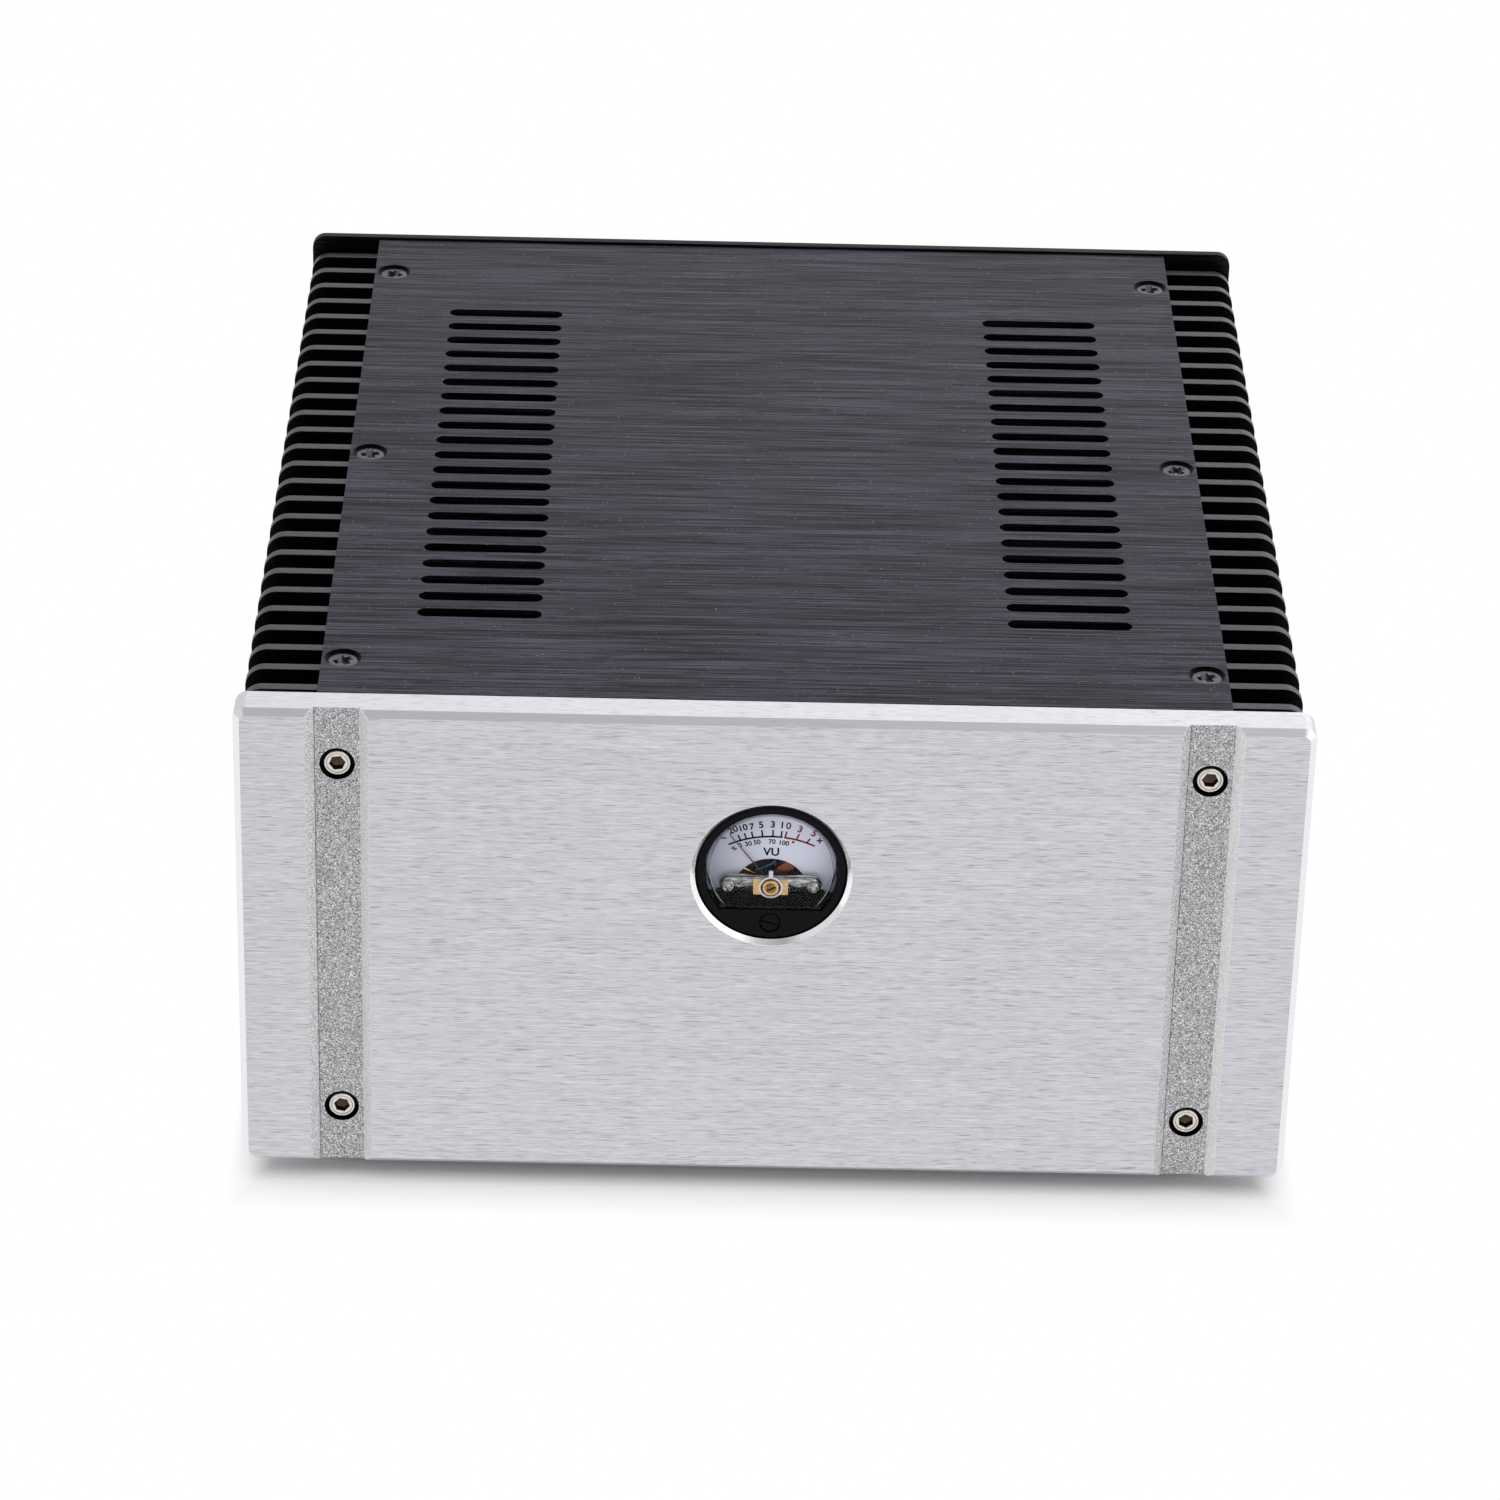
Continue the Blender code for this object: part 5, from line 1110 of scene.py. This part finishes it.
def makeBridge():
    print("meter bridge")
    deep = works["barFront"]
    half, tall = works["barLength"] / 2, works["barTall"] / 2
    centre = atPivot(0, deep, 0)
    bar = block("bridge_bar", centre + Vector((-half, 0, -tall)) * mm,
                centre + Vector((half, works["barThick"], tall)) * mm)
    roundCorners(bar, "Y", tall * mm, 12)
    openMesh()
    selectAll()
    bpy.ops.mesh.remove_doubles(threshold=10 * weldGap)
    pick("FACE", lambda spot, normal: normal.y < -0.9)
    bpy.ops.mesh.region_to_loop()
    bpy.ops.mesh.bevel(offset=works["barRound"] * mm, segments=7, affect="EDGES")
    closeMesh()
    for side in (-1, 1):
        foot = atPivot(side * works["screwX"], 0, 0)
        merge(bar, rod("foot", 2.2, deep + 0.5, 7.2, foot))
        for up in (-1.05, 1.05):
            eye = foot + Vector((-side * 3.3, 0, up)) * mm
            carve(bar, rod("eye", 0.55, deep - 1, deep + 0.7, eye, sides=24))
    easeEdges(bar, 0.06)
    # painted reflection on the bridge bar, from the chrome finish
    fit(bar, "chrome", "chassis", "chromed_brass", "meter_bridge")
    for number, side in enumerate((-1, 1), 1):
        place = atPivot(side * works["screwX"], deep, 0)
        profile = [(0, -1.2), (1.0, -1.15), (1.7, -0.85), (2.15, -0.35), (2.2, 0), (0, 0)]
        head = lathe(f"bridge_screw_{number}", profile, place, sides=48)
        # painted reflections in the screw head's colour
        coat(head, "chromeScrew")
        carve(head, crossCutter(place + Vector((0, -1.15, 0)) * mm, "Y", 0.5, "Z"))
        turnAbout(head, 20 + 30 * number, "Y", place)
        easeEdges(head, 0.06)
        fit(head, None, "chassis", "chromed_brass")
    saddle = block("bridge_saddle", atPivot(-5.25, deep - 0.35, -2.7),
                   atPivot(5.25, deep - 0.02, 2.7))
    carve(saddle, rod("eye", 3.0, 0, 9, pivot, sides=48))
    easeEdges(saddle, 0.12)
    fit(saddle, "brass", "chassis", "chromed_brass")
    boss = lathe("bridge_boss", [(0, 3.0), (1.8, 3.0), (1.8, 2.95), (2.4, 2.95), (2.65, 3.2), (2.65, 4.6),
                                 (0, 4.6)], pivot, sides=64)
    easeEdges(boss, 0.06)
    fit(boss, "brass", "chassis", "chromed_brass")
    jewel = lathe("jewel_screw", [(0, 2.6), (1.3, 2.6), (1.5, 2.75), (1.5, 3.3), (0, 3.3)], pivot, sides=48)
    coat(jewel, "darkBrass")
    slot = block("slot", atPivot(-2, 2, -0.28), atPivot(2, 3.0, 0.28))
    # painted shade in the jewel screw's slot
    coat(slot, "recess")
    turnAbout(slot, -25, "Y", pivot)
    carve(jewel, slot)
    easeEdges(jewel, 0.05)
    fit(jewel, None, "chassis", "chromed_brass")


def spokeBlock(name, near, far, width, deep, deeper, tilt):
    # a bar that points away from the needle's axis, tilted clockwise from straight up
    bar = block(name, atPivot(-width / 2, deep, near), atPivot(width / 2, deeper, far))
    return turnAbout(bar, tilt, "Y", pivot)


def makeNeedle():
    print("meter needle")
    rest = works["pointerRest"]
    pointer = block("pointer", atPivot(-0.26, 6.3, 0), atPivot(0.26, 6.6, works["pointer"]))
    openMesh()
    pick("FACE", lambda spot, normal: normal.z > 0.9)
    bpy.ops.transform.resize(value=(0.6, 0.7, 1), center_override=tuple(atPivot(0, 6.45, works["pointer"])))
    closeMesh()
    turnAbout(pointer, rest, "Y", pivot)
    easeEdges(pointer, 0.05)
    fit(pointer, "needle", "needle", "needle_red", "meter_needle")
    hub = lathe("needle_hub", [(0, 6.2), (0.9, 6.2), (1.2, 6.5), (1.2, 18.0), (0, 18.0)], pivot, sides=32)
    easeEdges(hub, 0.05)
    fit(hub, "iron", "needle", "magnet_iron")
    coil = block("moving_coil", atPivot(-1.7, 8.9, 3.5), atPivot(1.7, 16.7, 8.1))
    inner = block("gap", atPivot(-4, 9.7, 4.3), atPivot(4, 15.9, 7.3))
    carve(coil, inner)
    turnAbout(coil, works["coilRest"], "Y", pivot)
    easeEdges(coil, 0.2, 3)
    fit(coil, "copper", "needle", "gold_brass")
    arm = spokeBlock("coil_arm", 0.9, 3.7, 1.6, 8.9, 9.6, works["coilRest"])
    merge(arm, spokeBlock("arm", 0.9, 3.7, 1.6, 16.0, 16.7, works["coilRest"]))
    easeEdges(arm, 0.1)
    fit(arm, "aluminium", "needle", "bright_aluminium")
    for name, far, tilt in (("balance_arm", 9.3, works["weightRest"]), ("tail_arm", 4.5, rest + 180)):
        bar = lathe(name, [(0, 0.9), (0.26, 0.9), (0.26, far - 2), (0.42, far - 2), (0.42, far), (0, far)],
                    atPivot(0, 7.6, 0), "Z", 24)
        turnAbout(bar, tilt, "Y", pivot)
        easeEdges(bar, 0.06)
        fit(bar, "gold", "needle", "gold_brass")


def wire(name, points, thick, steps=6):
    # a lead through the given places, as a round curve turned into a mesh
    plain()
    bpy.ops.curve.primitive_bezier_curve_add()
    line = bpy.context.object
    spline = line.data.splines[0]
    spline.bezier_points.add(len(points) - 2)
    for knot, place in zip(spline.bezier_points, points):
        knot.co = place
        knot.handle_left_type = knot.handle_right_type = "AUTO"
    line.data.bevel_depth = thick * mm
    line.data.bevel_resolution = 2
    line.data.resolution_u = steps
    line.data.use_fill_caps = True
    bpy.ops.object.convert(target="MESH")
    piece = settle(name)
    bpy.ops.object.shade_smooth_by_angle(angle=math.radians(40))
    return piece


def makeMeterLeads():
    places = ((-4.4, 9.6, -4.4), (-1.6, 9.0, -2.9), (1.4, 9.4, -1.2))
    lead = wire("coil_lead", [inMeter(*place) for place in places], 0.24)
    fit(lead, "blueLead", "chassis", "black_plastic")
    coil = []
    for step in range(40):
        radius = 1.9 * (1 - step / 60)
        coil.append(atPivot(radius * math.cos(step * 0.5), 6.9, radius * math.sin(step * 0.5)))
    spring = wire("hair_spring", coil, 0.07, 3)
    fit(spring, "brass", "chassis", "gold_brass")


def makeZeroAdjust():
    print("zero adjuster")
    lever = lathe("zero_lever", [(3.05, 3.9), (3.05, 3.4), (3.7, 3.4), (3.7, 3.9), (3.05, 3.9)], pivot,
                  sides=64)
    merge(lever, spokeBlock("tab", 3.4, 5.8, 1.3, 3.4, 3.9, 0))
    easeEdges(lever, 0.08)
    fit(lever, "aluminium", "zero_lever", "bright_aluminium", "zero_adjust_lever")
    arm = spokeBlock("lever_arm", 3.72, 8.0, 1.6, 3.4, 3.9, 180)
    merge(arm, spokeBlock("fork", 7.2, 10.6, 3.2, 3.4, 3.9, 180))
    carve(arm, spokeBlock("mouth", 8.0, 12, 1.6, 3, 4.4, 180))
    easeEdges(arm, 0.08)
    fit(arm, "meterBlack", "zero_lever", "meter_black")
    zero = inMeter(0, 0, -meter["zeroDrop"])
    profile = [(0, 0.2), (2.75, 0.2), (3.0, 0.45), (3.0, 0.9), (1.2, 0.9), (1.2, 2.3), (2.2, 2.3),
               (2.2, 2.9),
               (0, 2.9)]
    screw = lathe("zero_screw_head", profile, zero, sides=64)
    pin = rod("pin", 0.5, 2.6, 4.2, zero + Vector((0, 0, 1.2)) * mm, sides=24)
    merge(screw, pin)
    slot = block("slot", zero + Vector((-4, -1, -0.35)) * mm, zero + Vector((4, 0.6, 0.35)) * mm)
    turnAbout(slot, 14, "Y", zero)
    carve(screw, slot)
    easeEdges(screw, 0.07)
    fit(screw, "meterBlack", "zero_screw", "meter_black", "zero_adjust_screw")
    keepNode("meter_clamp", "clamp_plate", 0.2, "aluminium", "chassis", "bright_aluminium")


makeBridge()
makeNeedle()
makeMeterLeads()
makeZeroAdjust()

# Rear connections
rear = {"screwRadius": 2.75, "screwRound": 1.5, "edgeInset": 6, "endInset": 22, "flangeScrew": 20.0}


def makePanScrew(name, place, wide, tall):
    # a black pan head on the rear panel, its cross recess facing back
    profile = [(0, tall), (wide * 0.5, tall * 0.96), (wide * 0.85, tall * 0.6), (wide, 0.1), (wide, -0.2),
               (0, -0.2)]
    head = lathe(name, profile, place, sides=40)
    coat(head, "blackened")
    cross = crossCutter(place + Vector((0, tall * 0.96, 0)) * mm, "Y", 0.6)
    return easeEdges(carve(head, cross), 0.08)


def makeRearScrews():
    print("rear screws")
    low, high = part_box("rear_panel")
    inset, end = rear["edgeInset"] * mm, rear["endInset"] * mm
    spots = [(x, z) for x in (low.x + end, 0, high.x - end) for z in (low.z + inset, high.z - inset)]
    first = Vector((spots[0][0], rearFace, spots[0][1]))
    master = makePanScrew("master", first, rear["screwRadius"], rear["screwRound"])
    for number, (x, z) in enumerate(spots, 1):
        place = Vector((x, rearFace, z))
        piece = copyTo(master, f"rear_screw_{number}", place - first)
        turnAbout(piece, 31 * number, "Y", place)
        fit(piece, None, "chassis", "black_steel")
    flange = middleOf("mains_inlet")
    for number, side in enumerate((-1, 1), 1):
        place = Vector((flange.x + side * rear["flangeScrew"] * mm, highOf("mains_inlet").y, flange.z))
        piece = copyTo(master, f"inlet_screw_{number}", place - first)
        turnAbout(piece, 40 * number, "Y", place)
        fit(piece, None, "chassis", "black_steel")
    discard(master)


def makeInlet():
    print("mains inlet")
    inlet = copyNode("mains_inlet", "inlet_body", 0.25)
    inlet.data.materials.clear()
    coat(inlet, "nylon", "zinc")
    drop = middleOf("mains_inlet").z - 11.5 * mm
    blades = [(-7, -1.2), (0, 3), (7, -1.2)]

    def onBlade(spot, normal):
        across, up = (spot.x - middleOf("mains_inlet").x) / mm, (spot.z - drop) / mm
        near = any(abs(across - x) < 1.5 and abs(up - z) < 2.6 for x, z in blades)
        return near and spot.y > lowOf("mains_inlet").y + 11 * mm and abs(up) < 7
    giveFinish(inlet, 1, onBlade)
    fit(inlet, None, "chassis", "black_plastic", "mains_inlet")
    keepNode("fuse_drawer", "drawer_body", 0.2, "nylon", "drawer", "black_plastic")
    keepNode("power_rocker", "rocker_body", 0.3, "rocker", "rocker", "rocker_plastic")


def makeRockerMarks():
    # a printed bar on the half that is pressed for on, and a ring on the other half
    body = bpy.data.objects["rocker_body"]
    halves = [face for face in body.data.polygons if face.normal.y > 0.85 and face.area > 40 * mm * mm]
    lower, upper = sorted(((face.center.copy(), face.normal.copy()) for face in halves),
                          key=lambda half: half[0].z)
    bar = block("rocker_bar", lower[0] + Vector((-0.3, -0.1, -1.4)) * mm,
                lower[0] + Vector((0.3, 0.04, 1.4)) * mm)
    ring = lathe("rocker_ring", [(0.85, -0.1), (1.4, -0.1), (1.4, 0.04), (0.85, 0.04), (0.85, -0.1)],
                 upper[0],
                 sides=48)
    for mark, (place, way) in ((bar, lower), (ring, upper)):
        turnAbout(mark, math.degrees(math.atan2(way.z, way.y)), "X", place)
        fit(mark, "whiteInk", "rocker", "rocker_plastic")


def makeJacks():
    print("input jacks")
    spot = middleOf("input_jack_left")
    place = Vector((spot.x, rearFace, spot.z))
    profile = [(2.6, 3.0), (2.6, 11.0), (2.9, 11.3), (3.85, 11.3), (4.15, 11.0), (4.15, 1.9), (5.6, 1.8),
               (5.8, 1.6), (5.8, 0.3), (4.6, 0.3), (4.6, -12), (0, -12), (0, 3.0), (2.6, 3.0)]
    shell = easeEdges(lathe("shell", profile, place, sides=64), 0.08)
    core = lathe("core", [(1.7, 3.6), (1.7, 10.4), (2.5, 10.4), (2.5, 3.2), (0, 3.2), (0, 3.6), (1.7, 3.6)],
                 place, sides=48)
    easeEdges(core, 0.08)
    band = lathe("band", [(5.9, 0.35), (5.9, 1.5), (7.3, 1.3), (7.3, 0.35), (5.9, 0.35)], place, sides=64)
    easeEdges(band, 0.1)
    for side, ring in (("left", "whiteRing"), ("right", "redRing")):
        node = f"input_jack_{side}"
        step = middleOf(node) - spot
        fit(copyTo(shell, f"jack_{side}_shell", step), "gold", "chassis", "gold_brass", node)
        fit(copyTo(core, f"jack_{side}_insulator", step), ring, "chassis", "black_plastic")
        fit(copyTo(band, f"jack_{side}_ring", step), ring, "chassis", "black_plastic")
    discard(shell, core, band)


def makeKnob(place, start, end):
    profile = [(2.9, start), (2.9, end), (4.6, end), (5.6, end - 0.5), (6.6, end - 1.6), (6.6, start + 1.2),
               (5.9, start), (2.9, start)]
    knob = lathe("knob", profile, place, sides=96)
    groove = rod("flute", 0.75, start + 1.8, end - 2.6, place + Vector((0, 0, 6.95 * mm)), sides=16)
    flutes = [groove]
    for turn in range(1, 18):
        flutes.append(turnAbout(copyTo(groove, "flute", (0, 0, 0)), 20 * turn, "Y", place))
    carve(knob, joinUp("flutes", *flutes))
    return easeEdges(knob, 0.12)


def makePosts():
    print("binding posts")
    spot = middleOf("post_base_1")
    place = Vector((spot.x, rearFace, spot.z))
    start, end = ((edge.y - rearFace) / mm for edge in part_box("post_cap_1"))
    low, high = ((edge.y - rearFace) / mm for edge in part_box("post_washer_1"))
    profile = [(2.0, end - 13), (2.0, end - 1.3), (2.3, end - 1.0), (2.6, end - 1.3), (2.6, 3.1),
               (5.2, 3.1),
               (5.2, 2.9), (7.2, 2.4), (7.2, 0.3), (4.0, 0.3), (4.0, -3.3), (6.0, -3.3), (6.0, -6.3),
               (2.6, -6.3), (2.6, -15.3), (0, -15.3), (0, end - 13), (2.0, end - 13)]
    stud = easeEdges(lathe("stud", profile, place, sides=64), 0.1)
    collar = lathe("collar", [(7.25, 0.32), (7.25, 2.0), (7.9, 1.8), (8.1, 0.32), (7.25, 0.32)], place,
                   sides=64)
    easeEdges(collar, 0.1)
    washer = lathe("washer", [(2.9, low), (2.9, high), (5.8, high), (6.0, high - 0.2), (6.0, low + 0.2),
                              (5.8, low), (2.9, low)], place, sides=64)
    easeEdges(washer, 0.06)
    knob = makeKnob(place, start, end)
    for number in range(1, 5):
        tone, slotName = (("blackCap", "black_plastic"), ("redCap", "red_plastic"))[number % 2]
        step = middleOf(f"post_base_{number}") - spot
        fit(copyTo(stud, f"post_stud_{number}", step), "gold", "chassis", "gold_brass",
            f"post_base_{number}")
        fit(copyTo(collar, f"post_collar_{number}", step), tone, "chassis", slotName)
        fit(copyTo(washer, f"clamp_washer_{number}", step), "gold", f"washer_{number}",
            "gold_brass", f"post_washer_{number}")
        fit(copyTo(knob, f"post_knob_{number}", step), tone, f"cap_{number}", slotName,
            f"post_cap_{number}")
    discard(stud, collar, washer, knob)


makeRearScrews()
makeInlet()
makeRockerMarks()
makeJacks()
makePosts()

# Inside, seen only through the slots; each lead: finish, slot, thickness and the places it passes, in mm
leads = {
    "mains_live": ("blackLead", "black_plastic", 1.2, (-70, 138, 60), (-78, 118, 50), (-82, 10, 46),
                   (-46, -46, 62)),
    "mains_neutral": ("blueLead", "black_plastic", 1.2, (-86, 138, 60), (-86, 116, 46), (-86, 4, 42),
                      (-52, -54, 60)),
    "winding_low": ("redLead", "red_plastic", 1.1, (30, -40, 61), (44, -8, 48), (62, 40, 30), (66, 48, 18)),
    "winding_high": ("redLead", "red_plastic", 1.1, (22, -34, 62), (36, -4, 50), (54, 38, 30),
                     (58, 46, 18)),
    "supply_right": ("redLead", "red_plastic", 1.0, (70, 92, 18), (84, 84, 36), (92, 60, 50), (98, 40, 60)),
    "supply_left": ("redLead", "red_plastic", 1.0, (-70, 92, 18), (-80, 84, 36), (-90, 60, 50),
                    (-98, 40, 60)),
    "speaker_right": ("blackLead", "black_plastic", 1.2, (100, 58, 80), (96, 100, 82), (100.5, 146, 69.3)),
    "speaker_left": ("blackLead", "black_plastic", 1.2, (-100, 58, 80), (-40, 112, 104), (30, 126, 90),
                     (50.5, 146, 69.3)),
    "signal_right": ("blackLead", "black_plastic", 0.9, (80, 149, 125.3), (88, 122, 122), (100, 60, 92)),
    "signal_left": ("blackLead", "black_plastic", 0.9, (104, 149, 125.3), (92, 130, 128), (0, 112, 124),
                    (-100, 60, 92))}


def makeLeads():
    print("leads")
    for name, (finish, slotName, thick, *places) in leads.items():
        lead = wire(name, [Vector(place) * mm for place in places], thick, 12)
        fit(lead, finish, "chassis", slotName)


makeLeads()
paint("tape", "transformer")
paint("zinc", "transformer_washer", "transformer_bolt")
paint("board", "supply_board", "amp_board_left", "amp_board_right")
paint("sleeve", "filter_capacitor_left", "filter_capacitor_right")
paint("epoxy", *(f"output_transistor_{number}" for number in range(1, 5)))
paint("glass", "fuse")

# Floor, light and camera
studio = {"floorSize": 9, "floorColour": "f7f7f7", "footprint": (152, 174), "shadowReach": (13, 24),
          "worldLight": 0.85, "frontDark": 0.5, "backBright": 1.3,
          "topPower": 14, "topSize": 2.6, "topHeight": 2.3}


def seenRays(tree):
    # 1 for camera rays and for what mirrors and clear plastic show
    path = addNode(tree, "LightPath", {})
    mirrored = addNode(tree, "Math", {0: path.outputs["Is Camera Ray"], 1: path.outputs["Is Glossy Ray"]},
                       operation="MAXIMUM")
    return addNode(tree, "Math", {0: mirrored, 1: path.outputs["Is Transmission Ray"]}, operation="MAXIMUM")


def floorSurface():
    # seamless paper: pure white, with a soft shadow that fades out close to the object
    surface, tree = newSurface("studioPaper", {"Roughness": 0.9, "Specular IOR Level": 0.0,
                                               "Base Color": studio["floorColour"]})
    where = addNode(tree, "TexCoord", {}).outputs["Object"]
    part = addNode(tree, "SeparateXYZ", {0: where})
    reach = []
    for axis, half, soft in zip("XY", studio["footprint"], studio["shadowReach"]):
        side = addNode(tree, "Math", {0: part.outputs[axis]}, operation="ABSOLUTE")
        reach.append(addNode(tree, "MapRange", {"Value": side, "From Min": half * mm,
                                                "From Max": (half + soft) * mm}))
    far = addNode(tree, "Math", {0: reach[0], 1: reach[1]}, operation="MAXIMUM")
    share = addNode(tree, "Math", {0: far, 1: seenRays(tree)}, operation="MULTIPLY")
    white = addNode(tree, "Emission", {"Color": (1, 1, 1, 1), "Strength": 1.0})
    both = addNode(tree, "MixShader", {0: share, 1: tree.nodes["Principled BSDF"], 2: white})
    plug(tree, tree.nodes["Material Output"], {"Surface": both})
    return surface


def makeWorld():
    # white to the camera; mirrors see it bright behind the object and dim above the camera
    world = bpy.data.worlds.new("studio")
    bpy.context.scene.world = world
    world.use_nodes = True
    tree = world.node_tree
    tree.nodes.clear()
    way = addNode(tree, "TexCoord", {}).outputs["Generated"]
    path = addNode(tree, "LightPath", {})
    above = addNode(tree, "VectorMath", {0: way, 1: (0, -0.49, 0.87)}, operation="DOT_PRODUCT")
    dim = addNode(tree, "MapRange", {"Value": above.outputs["Value"], "From Min": 0.84, "From Max": 0.97,
                                     "To Min": 1.0, "To Max": studio["frontDark"]})
    part = addNode(tree, "SeparateXYZ", {0: way})
    bright = addNode(tree, "MapRange", {"Value": part.outputs["Y"], "From Min": 0.2, "From Max": 0.7,
                                        "To Min": 1.0, "To Max": studio["backBright"]})
    across = addNode(tree, "MapRange", {"Value": part.outputs["X"], "From Min": -0.25, "From Max": 0.25,
                                        "To Min": 0.74, "To Max": 1.2})
    back = addNode(tree, "Math", {0: bright, 1: across}, operation="MULTIPLY")
    shine = addNode(tree, "Math", {0: dim, 1: back}, operation="MULTIPLY")
    glow = addNode(tree, "Mix", {0: path.outputs["Is Glossy Ray"], 2: studio["worldLight"], 3: shine})
    level = addNode(tree, "Mix", {0: path.outputs["Is Camera Ray"], 2: glow, 3: 1.0})
    sky = addNode(tree, "Background", {"Color": (1, 1, 1, 1), "Strength": level})
    addNode(tree, "OutputWorld", {"Surface": sky})


def makeStudio():
    print("studio")
    plain()
    bpy.ops.mesh.primitive_plane_add(size=studio["floorSize"])
    floor = settle("floor")
    floor.data.materials.append(floorSurface())
    makeWorld()


def addLamp(name, place, aim, wide, tall, power):
    plain()
    bpy.ops.object.light_add(type="AREA", location=place)
    lamp = bpy.context.object
    lamp.name = name
    lamp.data.shape = "RECTANGLE"
    lamp.data.size = wide
    lamp.data.size_y = tall
    lamp.data.energy = power
    lamp.rotation_euler = (Vector(aim) - Vector(place)).to_track_quat("-Z", "Y").to_euler()
    lamp.visible_camera = False
    return lamp


def makeLamps():
    lamp = addLamp("topBox", (0, -0.3, studio["topHeight"]), (0, 0, 0), studio["topSize"],
                   studio["topSize"], studio["topPower"])
    lamp.visible_glossy = False


# The camera stands in front and above, turned a little about its own line of sight
view = {"across": -26.28, "before": 1468.26, "above": 964.97, "aimAcross": -7.36, "aimAbove": 148.1,
        "roll": 1.5175, "lens": 136.69, "film": 36}


def makeCamera():
    print("camera")
    place = Vector((view["across"] * mm, front - view["before"] * mm, underside + view["above"] * mm))
    aim = Vector((view["aimAcross"] * mm, front, underside + view["aimAbove"] * mm))
    plain()
    bpy.ops.object.camera_add(location=place)
    camera = bpy.context.object
    camera.name = "camera"
    camera.data.lens = view["lens"]
    camera.data.sensor_width = view["film"]
    look = (aim - place).to_track_quat("-Z", "Y").to_euler()
    camera.rotation_euler = look
    camera.rotation_euler.rotate_axis("Z", math.radians(view["roll"]))
    bpy.context.scene.camera = camera


makeStudio()
makeLamps()
makeCamera()
bpy.context.scene.view_settings.view_transform = "Standard"

plain()
